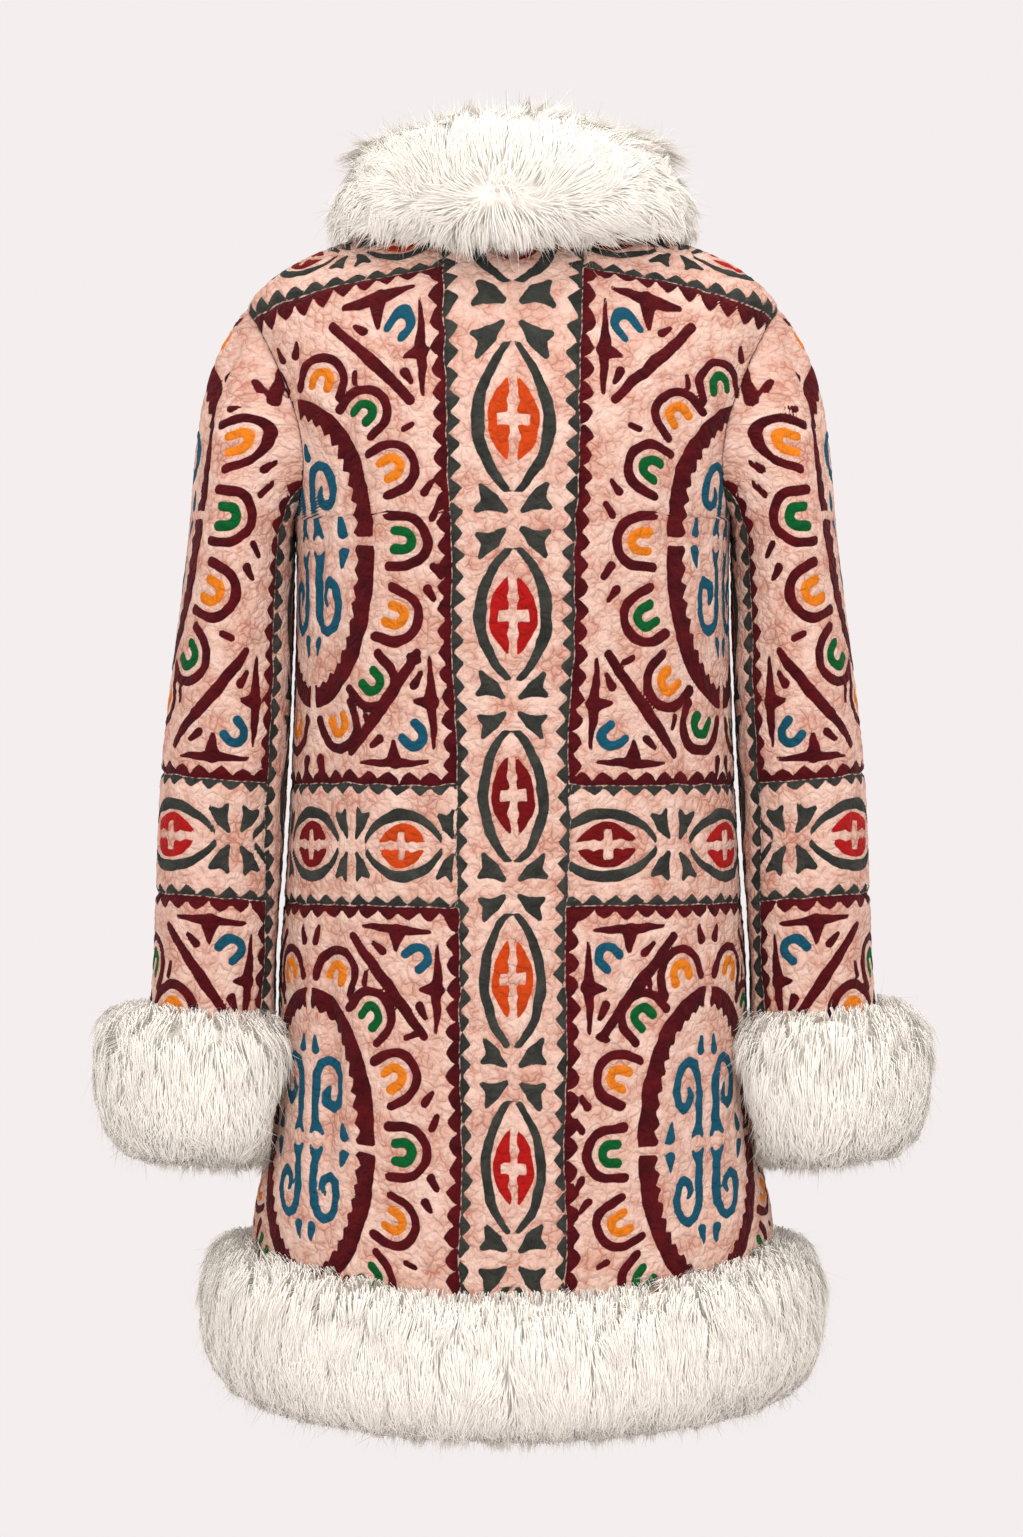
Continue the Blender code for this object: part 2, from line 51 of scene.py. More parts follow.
# Points of the cloth's face for each one of its inner side, and the turn to the coat's other side
STRIDE = 5
MIRROR = np.array([-1.0, 1.0, 1.0])

# Rough cloth sizes that the grids are counted from, in metres, and how much coarser than the back they are
BACK_WIDTH = 0.56
FRONT_WIDTH = 0.235
SLEEVE_WIDTH = 0.345
CAP_LENGTH = 0.20
FRONT_COARSENESS = 1.25
SLEEVE_COARSENESS = 1.15


def columns(names, *rows):
    """A table's columns, as arrays by name."""
    return dict(zip(names.split(), np.array(rows, float).T))


# Sections of the body, one row for each level up the cloth from the hem seam, in millimetres
BODY_SECTIONS = columns(
    "level z_back z_side z_front half_width back_depth front_depth squareness",
    (-120, -942, -925, -932, 203.5, 152, 154, 2.12),
    (0, -830, -805, -816, 202.5, 149, 151, 2.12),
    (60, -768, -750, -758, 201.0, 146, 148, 2.12),
    (110, -719, -706, -711, 197.0, 142, 144, 2.12),
    (180, -646, -638, -641, 190.0, 137, 139, 2.12),
    (250, -575, -571, -572, 183.0, 132, 134, 2.15),
    (305, -520, -519, -519, 178.0, 128, 130, 2.15),
    (397, -428, -428, -428, 172.5, 124, 126, 2.18),
    (460, -365, -365, -365, 170.0, 123, 125, 2.20),
    (530, -295, -295, -295, 168.0, 125, 126, 2.22),
    (600, -225, -225, -227, 169.5, 126, 127, 2.28),
    (660, -163, -165, -172, 178.5, 121, 122, 2.45),
    (715, -108, -112, -130, 190.5, 108, 113, 2.50),
    (755, -70, -77, -108, 200.5, 91, 104, 2.40),
    (780, -48, -56, -98, 206.0, 78, 98, 2.30),
    (800, -37, -38, -93, 191.0, 70, 94, 2.20),
    (817, -30, -26, -89, 174.5, 66, 91, 2.15),
    (850, -18, -11, -84, 143.0, 62, 87, 2.10),
    (881, -8, -1, -79, 113.0, 59, 83, 2.05),
    (909, 2, 8, -75, 86.0, 57, 80, 2.00),
)

# Folds of the body: angle from the wearer's left side, degrees; level, mm; half width, degrees;
# half length, mm; depth inwards, mm; lean, degrees for each 100 mm of level
BODY_FOLDS = (
    (46, 175, 5.5, 120, 5.0, -1.5),
    (62, 30, 8.0, 90, 4.5, 1.0),
    (104, 20, 8.5, 80, 3.5, 0.5),
    (133, 60, 8.0, 110, 4.5, -1.5),
    (36, 430, 6.0, 90, 3.5, 2.0),
    (47, 640, 6.0, 85, 3.5, 4.0),
    (140, 400, 6.5, 80, 3.0, -2.0),
    (131, 655, 6.0, 75, 3.0, -4.0),
    (90, 500, 9.0, 140, 2.0, 0.0),
    (1, 150, 30.0, 78, 9.0, 0.0),
    (179, 150, 30.0, 78, 9.0, 0.0),
    (222, 50, 8.0, 130, 4.5, 1.5),
    (248, 120, 6.0, 150, 3.5, 1.0),
    (292, 120, 6.0, 150, 3.5, -1.0),
    (318, 50, 8.0, 130, 4.5, -1.5),
    (228, 470, 7.0, 110, 3.0, -2.0),
    (312, 470, 7.0, 110, 3.0, 2.0),
)
HEM_HELD_TO = 35.0

# Level up to which the cloth by the hem is taken as straight
HEM_RISE = 60.0

# Narrow creases that only the look has, as above
BODY_CREASES = (
    (43, 200, 2.2, 105, 3.6, -2.5),
    (55, 120, 2.2, 70, 1.8, 1.5),
    (75, 250, 2.4, 60, 1.0, 2.0),
    (100, 130, 2.4, 80, 1.2, -1.0),
    (118, 250, 2.2, 70, 1.2, -2.0),
    (139, 150, 2.0, 90, 1.9, 1.5),
    (30, 540, 2.0, 55, 2.0, 6.0),
    (36, 600, 1.8, 45, 1.8, 9.0),
    (150, 545, 2.0, 55, 2.0, -6.0),
    (144, 605, 1.8, 45, 1.8, -9.0),
    (66, 700, 2.4, 50, 1.1, 5.0),
    (114, 700, 2.4, 50, 1.1, -5.0),
    (92, 330, 2.0, 90, 0.9, 0.5),
    (86, 590, 2.0, 60, 0.8, -0.5),
    (236, 330, 2.4, 120, 1.8, 2.5),
    (304, 330, 2.4, 120, 1.8, -2.5),
    (210, 560, 2.2, 60, 2.0, 8.0),
    (330, 560, 2.2, 60, 2.0, -8.0),
    (256, 200, 2.0, 110, 1.4, -1.0),
    (284, 200, 2.0, 110, 1.4, 1.0),
)

FRONT_OPENING = 7.0 * MM
UNDERARM_LEVEL = 600.0
SHOULDER_LEVEL = 780.0
NECK_LEVEL = 909.0
SEAM_GAP = 0.3 * MM
ARMHOLE_GAP = 0.5 * MM
ARMHOLE_BACK = 60.0 * MM
ARMHOLE_FRONT = 62.0 * MM
ARMHOLE_NARROWING = 0.45
UNDERARM_TURN = math.radians(150)
SHOULDER_LIFT = math.radians(20)
TURN_SHARPNESS = 1.5

# Sections of the left sleeve down its own line, in millimetres
SLEEVE_SECTIONS = columns(
    "drop centre_x centre_y half_width half_depth",
    (262, 214.5, 4.0, 40.0, 65.0),
    (324, 218.0, 7.0, 44.0, 62.0),
    (400, 224.5, 10.0, 46.5, 58.0),
    (470, 228.5, 13.0, 46.8, 55.0),
    (540, 231.5, 16.0, 46.0, 52.0),
    (605, 235.0, 19.0, 45.8, 49.5),
    (635, 237.5, 20.0, 45.5, 49.0),
    (735, 245.0, 24.0, 44.0, 49.0),
)
SLEEVE_TILT = 0.075
BICEP_DROP = 262.0
CUFF_SEAM_DROP = 635.0
CUFF_TOP_DROP = 613.0

# Folds and creases of the sleeve, with a drop in place of the level
SLEEVE_FOLDS = (
    (60, 330, 16, 26, 3.0, 10.0),
    (105, 420, 20, 20, 2.5, -8.0),
    (75, 500, 18, 24, 2.5, 8.0),
    (300, 380, 22, 26, 3.5, -8.0),
    (285, 460, 20, 22, 3.0, 8.0),
    (150, 560, 22, 26, 2.0, 0.0),
)
SLEEVE_CREASES = (
    (80, 300, 7, 40, 1.3, 16.0),
    (120, 350, 8, 34, 1.2, -18.0),
    (62, 395, 9, 14, 1.6, 30.0),
    (98, 450, 12, 9, 1.3, -30.0),
    (70, 470, 9, 14, 1.3, 26.0),
    (110, 540, 10, 12, 1.0, 20.0),
    (85, 585, 10, 12, 0.9, -20.0),
    (290, 350, 9, 24, 1.5, -16.0),
    (270, 420, 13, 10, 1.6, 24.0),
    (310, 520, 10, 16, 1.3, -20.0),
)

# Fur sections, as the solids have them but for the collar's sides and the cuffs, where the solids go on to
# the outermost tips
HEM_FUR = columns(
    "reach_mm fall",
    (0.8, 0.00), (5.0, -0.105), (14.0, -0.13), (26.0, -0.02), (35.5, 0.18), (40.5, 0.42), (39.0, 0.62),
    (31.0, 0.80), (18.0, 0.94), (4.0, 1.00), (-3.0, 0.96),
)
HEM_FUR_TOP = {"back": -814 * MM, "side": -789 * MM, "front": -800 * MM}
HEM_FUR_FOOT = {"back": -917 * MM, "side": -902 * MM, "front": -906 * MM}
CUFF_FUR = columns(
    "reach_mm fall_mm",
    (0.8, 0), (6.0, -13), (16.0, -17), (31.0, -8), (41.0, 16), (44.5, 42), (42.0, 66), (33.0, 87),
    (18.0, 102), (3.0, 108), (-3.0, 104),
)
CUFF_TRIM = 0.90
LEAST_REACH = 1 * MM
CUFF_INNER_REACH = 0.05
CUFF_SQUEEZE_FROM = math.radians(8)
CUFF_SQUEEZE_TO_BACK = math.radians(55)
CUFF_SQUEEZE_TO_FRONT = math.radians(88)
COLLAR_FUR = columns(
    "out_side up_side out_back up_back out_front up_front",
    (54, -10, 19, -24, 16, -20),
    (54, 12, 40, -16, 33, -18),
    (46, 31, 53, 4, 45, -4),
    (36, 47, 55, 32, 47, 17),
    (24, 60, 46, 58, 39, 35),
    (8, 64, 28, 77, 24, 46),
    (-7, 55, 8, 85, 8, 48),
    (-13, 38, -8, 75, -6, 40),
    (-12, 19, -14, 50, -12, 26),
    (-6, 5, -8, 18, -8, 11),
)
COLLAR_FRONT_TAPER = 0.28

# Middle of each fur section, which it shrinks towards: share of the fall, millimetres, metres out and up
HEM_HEART = 0.45
CUFF_HEART = 45
COLLAR_HEART = {"out": 0.018, "up": 0.024}

# How far the hairs' roots and the form under them are drawn in from the fur's full reach, as shares, twice
# the roundness that hairs lie over, in metres, and the room over the roots that hairs of full length need
PILE_INSET = 0.30
FORM_INSET = 0.20
PILE_ROUNDNESS = 0.11
FULL_ROOM = 0.010

# How the hairs of each kind of piece lie: how high locks stand, how far they stray, how much the roundness
# lowers the tips, and how much shorter the low hairs are
PILE = {
    "collar": {"lock_high": 2.1, "lock_stray": 0.36, "sinks": 0.15, "shorter": 0.0},
    "cuff": {"lock_high": 1.7, "lock_stray": 0.22, "sinks": 0.9, "shorter": 0.3},
    "hem": {"lock_high": 1.7, "lock_stray": 0.22, "sinks": 0.9, "shorter": 0.3},
}
HAIRS_A_LOCK = 80
HAIR_HEIGHTS = (0.78, 1.08)
HAIR_STRAY = 0.08
LOCK_PULL = (0.05, 0.7)
ASTRAY_SHARE = 0.12

# Where the pile of the collar's back spreads from: the middle and half length of its crown
COLLAR_CROWN = (14 * MM, 0.0, 18 * MM)
COLLAR_CROWN_HALF = 38 * MM

# The quilt, in millimetres along the cloth: bands of ovals between blocks with a medallion
HIGH_BAND_LEVEL = 397.0
BAND_MIDDLE = 351.0
BAND_HALF = 45.0
LEVEL_BAND_HALF = 46.0
BODY_TOP_SEAM = 787.0
SLEEVE_TOP_SEAM = 752.0
SLEEVE_LEVEL_AT_SHOULDER = 820.0

# Half width of the band down the middle at three levels
MIDDLE_BAND = ((0.0, 38.5), (450.0, 43.5), (787.0, 54.0))

# Distance that stands for far from any shape, and how the shapes wander as they are cut by hand
FAR = 60.0
WANDER = {"fine": 0.9, "fine_size": 9.0, "broad": 1.6, "broad_size": 46.0, "ragged": 0.4, "ragged_size": 3.4}

# The cloth's face: width of a stitched line, echo lines as distance, depth and width, two crinkles as share
# and size, the width of a seam, and how much of the puff each takes
STITCHED_HALF = 1.8
ECHO_LINES = ((7.5, 0.7, 1.6), (15.0, 0.5, 1.8))
CRINKLES = ((0.45, 4.6), (0.55, 7.4))
SEAM_HALF = 2.6
RELIEF = {"rest": 0.6, "crinkle": 0.6, "drawn": 0.7, "seam": 1.7}

# How the quilt is carried over the yoke: it droops towards the armholes and is drawn up under the collar
YOKE = {"droop": 27.0, "droop_rise": 150.0, "droop_reach": 155.0, "outer_reach": 105.0, "middle_lift": 17.0,
        "middle_from": 680.0, "middle_to": 790.0, "top_lift": 9.0, "outer_lift": 10.0, "top_from": 742.0,
        "top_to": 800.0}

# Blocks: half width, level and size of the medallion, its shift outwards left and right of the band, and
# which of the two horseshoe colours comes first
BODY_BLOCKS = {
    "upper": (140.0, 580.0, 1.10, -11.0, 3.0, 1, 0),
    "lower": (128.0, 124.0, 1.02, 2.0, -8.0, 1, 1),
}
SLEEVE_BLOCKS = {
    "upper": (145.0, 597.0, 1.12, 0.0, 0.0, 1, 1),
    "lower": (145.0, 110.0, 1.12, 0.0, 0.0, 0, 0),
}
SLEEVE_TURNED = 20.0
SLEEVE_HANGS_CLEAR = 2.6 * MM
SLEEVE_LEANS_MOST = 5 * MM

# Nearly plain top of each sleeve, and its dark bars as millimetres across and up the sleeve
SLEEVE_PLAIN = {"level": 684.0, "across": 50.0, "top_level": 714.0, "top_across": 26.0}
SLEEVE_TOP_BARS = (
    (73, 744, 90, 694, 2.8, 4.2),
    (71, 709, 79, 702, 2.4, 3.2),
    (92, 741, 93, 722, 4.6, 1.4),
    (90, 717, 93, 706, 2.2, 1.8),
)

# Dark bars in each block's corner: from and to, as millimetres from the side seam and the end seam, and the
# half width at each end, as in every table of bars
CORNER_BARS = (
    (17.5, 61, 17, 27, 4.8, 1.2),
    (17.5, 61, 17.5, 94, 4.8, 1.4),
    (17.5, 61, 30, 62, 6.2, 1.9),
    (49, 17.5, 22, 18, 4.3, 1.5),
    (49, 17.5, 76, 16, 4.3, 1.5),
    (49, 19, 49, 34, 6.6, 1.7),
    (27, 97, 56, 60, 3.6, 5.0),
    (56, 60, 85, 24, 5.0, 3.5),
    (25.5, 83, 30.5, 74, 2.1, 3.8),
    (60, 35, 67, 29, 3.7, 2.1),
)
CORNER_HORSESHOE = {"at": (32.0, 37.0), "radius": 7.4, "leg": 6.5, "stroke": 7.0}

# Small dark drops round a medallion: across and up from its middle
DROP_BARS = (
    (105, 17, 110, 25, 2.9, 2.4),
    (101, 34, 106, 41, 3.4, 2.0),
    (87, 80, 94, 83, 2.6, 2.3),
    (53, 119, 55, 127, 2.5, 2.0),
    (7, 150, 10, 161, 4.0, 1.8),
)

# Medallion ring and the arches that stand round it
RING = {"half_width": 63.0, "half_height": 114.0, "band": 12.6, "tooth": 4.6, "teeth": 44, "break": 2.8}
ARCH_RING = {"half_width": 84.0, "half_height": 133.0}
ARCH_TURNS = (0.0, 23.0, 46.0, 71.0)
ARCH = {"radius": 17.4, "leg": 10.5, "stroke": 7.0}
HORSESHOE = {"radius": 6.4, "leg": 5.5, "stroke": 7.0}

# Scroll in each quarter of a medallion: points from its foot to its curl, as across, up and half width
SCROLL = (
    (9.5, 10, 3.4), (8.0, 22, 3.5), (7.6, 36, 3.8), (8.8, 49, 3.8), (12.0, 57, 3.6), (17.5, 60, 3.5),
    (23.5, 57, 3.4), (27.5, 49, 3.5), (29.0, 39, 3.6), (27.5, 30, 3.6), (22.5, 26, 3.7), (17.5, 29, 3.4),
    (16.0, 35.5, 2.9), (18.5, 41, 1.8),
)
MEDALLION_BARS = (
    (9.5, 14, 4.6, 5.0, 3.4, 1.6),
    (9.5, 14, 14.6, 5.6, 3.4, 1.6),
    (6.5, 67, 5.6, 77, 3.8, 1.6),
    (36.0, 7.0, 34.5, 17, 4.4, 1.4),
    (36.0, 8.0, 40.0, 5.0, 2.8, 1.4),
)

# Ovals of a band. Upright: level of one oval. Level bands: length to the first and from one to the next
OVAL_PITCH = 136.5
OVAL_LEVEL = 115.0
OVAL_RISE = {"by": 8.0, "from": 560, "to": 690}
LEVEL_OVALS = {"left": (84.0, 88.0), "right": (71.0, 116.0), "sleeve": (58.0, 116.0)}
OVAL_COLOURS = {
    "upright": ("scarlet", "vermilion", "garnet", "scarlet", "vermilion", "garnet"),
    "left": ("vermilion", "garnet"),
    "right": ("garnet", "scarlet"),
    "sleeve": ("scarlet", "vermilion"),
}
BRACKET = {"centre": 45.0, "radius": 69.0, "stroke": 8.3, "half_length": 49.5, "thick": 1.08, "thinning": 0.5}
LENS = {"centre": 19.0, "radius": 36.5, "split": 2.9, "cross_across": 11.0, "cross_along": 4.2, "knob": 1.5,
        "knob_at": 13.5, "knob_half": 3.0}
LEAF_BARS = (
    (16.5, 13.5, 23.0, 24.0, 6.8, 2.2),
    (16.5, 13.5, 6.5, 6.5, 6.5, 2.2),
    (16.5, 13.5, 26.0, 8.5, 6.3, 2.2),
)
SEAM = {"strip": 1.9, "pitch": 16.6, "dark_depth": 8.2, "red_depth": 8.8, "dark_start": 3.0,
        "red_start": -5.0, "low_share": 0.8, "slope": 0.75}

COLOURS = {
    "cotton": (0.50, 0.268, 0.200),
    "cotton_pale": (0.62, 0.425, 0.350),
    # Deeper pink that is painted into the creases as their shade
    "cotton_crease_shade": (0.33, 0.105, 0.070),
    "maroon": (0.038, 0.0012, 0.0028),
    "maroon_light": (0.080, 0.0030, 0.0050),
    "charcoal": (0.018, 0.0185, 0.0155),
    "charcoal_light": (0.040, 0.041, 0.035),
    "teal": (0.006, 0.068, 0.110),
    "green": (0.001, 0.080, 0.017),
    "amber": (0.62, 0.165, 0.008),
    "vermilion": (0.47, 0.045, 0.004),
    "scarlet": (0.34, 0.006, 0.005),
    "garnet": (0.13, 0.003, 0.004),
    "lining": (0.50, 0.38, 0.31),
    "thread": (0.62, 0.52, 0.44),
    "fur": (0.772, 0.738, 0.684),
    "fur_root": (0.762, 0.712, 0.634),
    "fur_shade": (0.725, 0.680, 0.606),
}

# Studio: a round floor below the coat, and soft lamps as name, place, size and power
FLOOR_LEVEL = -1.16
FLOOR_RADIUS = 0.62
FLOOR_CORNERS = 64
LAMPS_AIM = (0, 0, -0.42)
LAMPS = (
    ("key", (-1.5, 2.5, 1.2), 1.9, 46.0),
    ("fill", (2.0, 2.3, 0.2), 2.0, 26.0),
    ("top", (0.0, 0.5, 1.9), 1.6, 16.0),
)


def length_property(name, description, default, low, high):
    return FloatProperty(name=name, description=description, default=default, min=low, max=high,
                         unit="LENGTH")


class QuiltSettings(bpy.types.PropertyGroup):
    spacing: length_property("Grid", "Distance between points of the cloth", 0.00236, 0.0015, 0.02)
    thickness: length_property("Thickness", "Wall of the quilted cloth", 0.003, 0.001, 0.006)
    puff: length_property("Puff", "How far the filling lifts the cloth between stitches", 0.0011, 0.0, 0.004)


class FurSettings(bpy.types.PropertyGroup):
    hairs: IntProperty(name="Hairs", description="Hairs of the collar; other pieces take a share of it",
                       default=52000, min=200, max=60000)
    length: length_property("Length", "Length of the pile", 0.040, 0.01, 0.08)
    width: length_property("Width", "Width of a hair at its root", 0.0010, 0.0004, 0.005)
    seed: IntProperty(name="Seed", description="Starting number for the uneven pile", default=11, min=0)


class StudioSettings(bpy.types.PropertyGroup):
    camera_at: FloatVectorProperty(name="Camera", description="Where the camera stands",
                                   default=(0.001, 3.0, -0.416), subtype="TRANSLATION", unit="LENGTH")
    lens: FloatProperty(name="Lens", description="Focal length in millimetres", default=90.0, min=20, max=200)
    light: FloatProperty(name="Light", description="Strength of the studio lights", default=1.38, min=0.1,
                         max=4)


# Shape of the coat


def smooth_read(keys, values, at):
    """A smooth curve through (keys, values), read at other keys, with slopes taken from the neighbours."""
    slopes = np.gradient(values, keys)
    at = np.asarray(at, float)
    k = np.clip(np.searchsorted(keys, at) - 1, 0, len(keys) - 2)
    span = keys[k + 1] - keys[k]
    t = np.clip((at - keys[k]) / span, 0.0, 1.0)
    beyond = at - np.clip(at, keys[0], keys[-1])
    curve = (
        (2 * t**3 - 3 * t**2 + 1) * values[k]
        + (t**3 - 2 * t**2 + t) * span * slopes[k]
        + (3 * t**2 - 2 * t**3) * values[k + 1]
        + (t**3 - t**2) * span * slopes[k + 1]
    )
    return curve + beyond * np.where(beyond < 0, slopes[0], slopes[-1])


def body_column(name, level):
    return smooth_read(BODY_SECTIONS["level"], BODY_SECTIONS[name], level)


def unit(vectors):
    return vectors / np.maximum(np.linalg.norm(vectors, axis=-1, keepdims=True), 1e-12)


def smooth_step(value, low, high):
    t = np.clip((value - low) / (high - low), 0, 1)
    return t * t * (3 - 2 * t)


def uneven(u, v, size, seed):
    """Soft random-looking waves from -1 to 1 over a surface, about size across."""
    p, q = u / size, v / size
    first = np.sin(p * 1.7 + seed) * np.cos(q * 1.9 - seed * 0.7)
    second = np.sin(p * 0.9 - q * 1.3 + seed * 1.9 + 1.4 * np.sin(q * 0.8 + seed))
    return 0.55 * first + 0.45 * second


def fold_depth(folds, angle, along, rough=0.0):
    """Depth of all soft folds at an angle in radians and a level or drop in mm. rough makes them uneven."""
    depth = np.zeros(np.broadcast(angle, along).shape)
    for number, (at, where, half_width, half_length, deep, lean) in enumerate(folds):
        centre = math.radians(at) + math.radians(lean) * (along - where) / 100.0
        centre = centre + rough * math.radians(half_width) * 0.5 * np.sin(along / 23.0 + number * 1.7)
        turn = (angle - centre + math.pi) % (2 * math.pi) - math.pi
        depth += deep * MM * np.exp(-((turn / math.radians(half_width)) ** 2)
                                    - ((along - where) / half_length) ** 2)
    return depth


def body_point(angle, level, rough=0.0):
    """A point on the body's outer face: a rounded oval at each level, pushed in at the folds."""
    angle, level = np.broadcast_arrays(np.asarray(angle, float), np.asarray(level, float))
    c, s = np.cos(angle), np.sin(angle)
    power = 2.0 / body_column("squareness", level)
    half_width = body_column("half_width", level) * MM
    behind = s >= 0
    depth = np.where(behind, body_column("back_depth", level), body_column("front_depth", level)) * MM
    x = half_width * np.sign(c) * np.abs(c) ** power
    y = depth * np.sign(s) * np.abs(s) ** power
    z_side = body_column("z_side", level)
    z_far = np.where(behind, body_column("z_back", level), body_column("z_front", level))
    z = (z_side + (z_far - z_side) * s**2) * MM
    out_x, out_y = x / half_width**2, y / depth**2
    length = np.hypot(out_x, out_y)
    held_flat = np.clip((level - HEM_HELD_TO) / HEM_HELD_TO, 0, 1)
    inwards = fold_depth(BODY_FOLDS, angle, level)
    if rough:
        creases = fold_depth(BODY_CREASES, angle, level, 1.0)
        inwards = inwards + rough * (creases - crease_ridges(angle, level))
    inwards = inwards * held_flat / length
    return np.stack([x - out_x * inwards, y - out_y * inwards, z], axis=-1)


def crease_ridges(angle, level):
    """A lower, wider swelling beside each narrow crease."""
    beside = tuple((at + 2.4 * wide, where, wide * 1.3, long * 0.9, deep * 0.45, lean)
                   for at, where, wide, long, deep, lean in BODY_CREASES)
    return fold_depth(beside, angle, level, 1.0)


def body_normal(angle, level):
    """Outward direction of the body's face, from its slopes round and up."""
    turn, rise = 2e-3, 1.0
    around = body_point(angle + turn, level) - body_point(angle - turn, level)
    upwards = body_point(angle, level + rise) - body_point(angle, level - rise)
    return unit(np.cross(around, upwards))


def angle_at_x(x, level):
    """Angle from the side, on the wearer's left, at which the body's face is x from the middle."""
    share = x / (body_column("half_width", level) * MM)
    return math.pi / 2 - np.arcsin(np.clip(share, 0, 1) ** (body_column("squareness", level) / 2))


def angle_at_y(y, level, depth_name):
    """Angle from the side at which the body's face is y behind or before the side seam."""
    share = y / (body_column(depth_name, level) * MM)
    return np.arcsin(np.clip(share, 0, 1) ** (body_column("squareness", level) / 2))


def armhole_edge(turn, widest):
    """Level and distance from the side seam along the armhole; turn is 0 at the underarm, pi at the top."""
    level = UNDERARM_LEVEL + (SHOULDER_LEVEL - UNDERARM_LEVEL) * (1 - np.cos(turn)) / 2
    return level, widest * np.sin(turn) * (1 + ARMHOLE_NARROWING * np.cos(turn))


def side_edge_angle(level, widest, depth_name):
    """Where a panel ends at the side: at the side seam, the armhole or the shoulder seam."""
    share = (level - UNDERARM_LEVEL) / (SHOULDER_LEVEL - UNDERARM_LEVEL)
    turn = np.arccos(np.clip(1 - 2 * share, -1, 1))
    reach = armhole_edge(turn, widest)[1]
    return angle_at_y(np.maximum(reach, SEAM_GAP / 2), level, depth_name)


def sleeve_column(name, drop):
    return smooth_read(SLEEVE_SECTIONS["drop"], SLEEVE_SECTIONS[name], drop) * MM


def sleeve_tube(turn, drop, reach=0.0, rough=0.0):
    """A point on the straight part of the left sleeve; turn is 0 at its inner line and pi / 2 at its back."""
    turn, drop = np.broadcast_arrays(np.asarray(turn, float), np.asarray(drop, float))
    half_width, half_depth = sleeve_column("half_width", drop), sleeve_column("half_depth", drop)
    out = unit(np.stack([-np.cos(turn) / half_width, np.sin(turn) / half_depth], axis=-1))
    inwards = fold_depth(SLEEVE_FOLDS, turn, drop)
    if rough:
        inwards = inwards + rough * fold_depth(SLEEVE_CREASES, turn, drop, 1.0)
    inwards = inwards * np.clip((CUFF_TOP_DROP - drop) / 20.0, 0, 1)
    across = -np.cos(turn) * half_width + out[..., 0] * (reach - inwards)
    x = sleeve_column("centre_x", drop) + across
    y = sleeve_column("centre_y", drop) + np.sin(turn) * half_depth + out[..., 1] * (reach - inwards)
    return np.stack([x, y, -drop * MM + SLEEVE_TILT * across], axis=-1)


def armhole_frame(turn):
    """Armhole edge of the left side: its points, the face's outward direction, and the way into the hole."""
    turn = np.asarray(turn, float)

    def edge(at):
        at = at % (2 * math.pi)
        behind = at <= math.pi
        level, back = armhole_edge(at, ARMHOLE_BACK)
        front = armhole_edge(2 * math.pi - at, ARMHOLE_FRONT)[1]
        angle = np.where(behind, angle_at_y(np.abs(back), level, "back_depth"),
                         -angle_at_y(np.abs(front), level, "front_depth"))
        return angle, level

    angle, level = edge(turn)
    step = 1e-3
    along = unit(body_point(*edge(turn + step)) - body_point(*edge(turn - step)))
    normal = body_normal(angle, level)
    return body_point(angle, level), normal, unit(np.cross(normal, along))


def sleeve_cap(turn, share):
    """The left sleeve's curved top: cubic curves from the armhole, share 0, to the upper arm, share 1."""
    start, normal, into_hole = armhole_frame(turn)
    start = start + into_hole * ARMHOLE_GAP
    lowness = (1 + np.cos(turn)) / 2
    fold_back = UNDERARM_TURN * lowness**TURN_SHARPNESS + SHOULDER_LIFT * (1 - lowness)
    end = sleeve_tube(turn, BICEP_DROP)
    leaving = into_hole * np.cos(fold_back)[..., None] + normal * np.sin(fold_back)[..., None]
    leaving[..., 1] = unit(end - start)[..., 1]
    leaving = unit(leaving)
    arriving = unit(end - sleeve_tube(turn, BICEP_DROP + 8.0))
    distance = np.linalg.norm(end - start, axis=-1, keepdims=True)
    first, second = start + leaving * distance * 0.36, end + arriving * distance * 0.40
    t = np.asarray(share, float)[..., None]
    return (1 - t) ** 3 * start + 3 * (1 - t) ** 2 * t * first + 3 * (1 - t) * t**2 * second + t**3 * end


def sleeve_point(turn, along, rough=0.0):
    """Left sleeve from the armhole, along 0, past the upper arm, along 1, to the cuff seam, along 2."""
    turn, along = np.broadcast_arrays(np.asarray(turn, float), np.asarray(along, float))
    cap = sleeve_cap(turn, np.clip(along, 0, 1))
    drop = BICEP_DROP + (CUFF_SEAM_DROP - BICEP_DROP) * np.clip(along - 1, 0, 1)
    return np.where((along < 1)[..., None], cap, sleeve_tube(turn, drop, 0.0, rough))


def grid_normals(points):
    """Directions square to a grid of points that closes round, from the slopes between neighbours."""
    around = np.roll(points, -1, axis=1) - np.roll(points, 1, axis=1)
    return unit(np.cross(around, np.gradient(points, axis=0)))


# The quilt's pattern: distances in millimetres to its shapes, negative inside them


def bar(u, v, row):
    """Distance to a bar between two points, with its own half width at each end."""
    u0, v0, u1, v1, r0, r1 = row
    du, dv = u1 - u0, v1 - v0
    t = np.clip(((u - u0) * du + (v - v0) * dv) / (du * du + dv * dv), 0, 1)
    return np.hypot(u - u0 - t * du, v - v0 - t * dv) - (r0 + (r1 - r0) * t)


def bars(u, v, rows):
    return np.minimum.reduce([bar(u, v, row) for row in rows])


def arch(u, v, at, facing, radius, leg, stroke):
    """Distance to a horseshoe stroke whose open end faces the given way."""
    along = (u - at[0]) * facing[0] + (v - at[1]) * facing[1]
    beside = np.abs((v - at[1]) * facing[0] - (u - at[0]) * facing[1])
    round_end = np.abs(np.hypot(along, beside) - radius)
    legs = np.hypot(np.maximum(along - leg, 0), beside - radius)
    return np.where(along < 0, round_end, legs) - stroke / 2


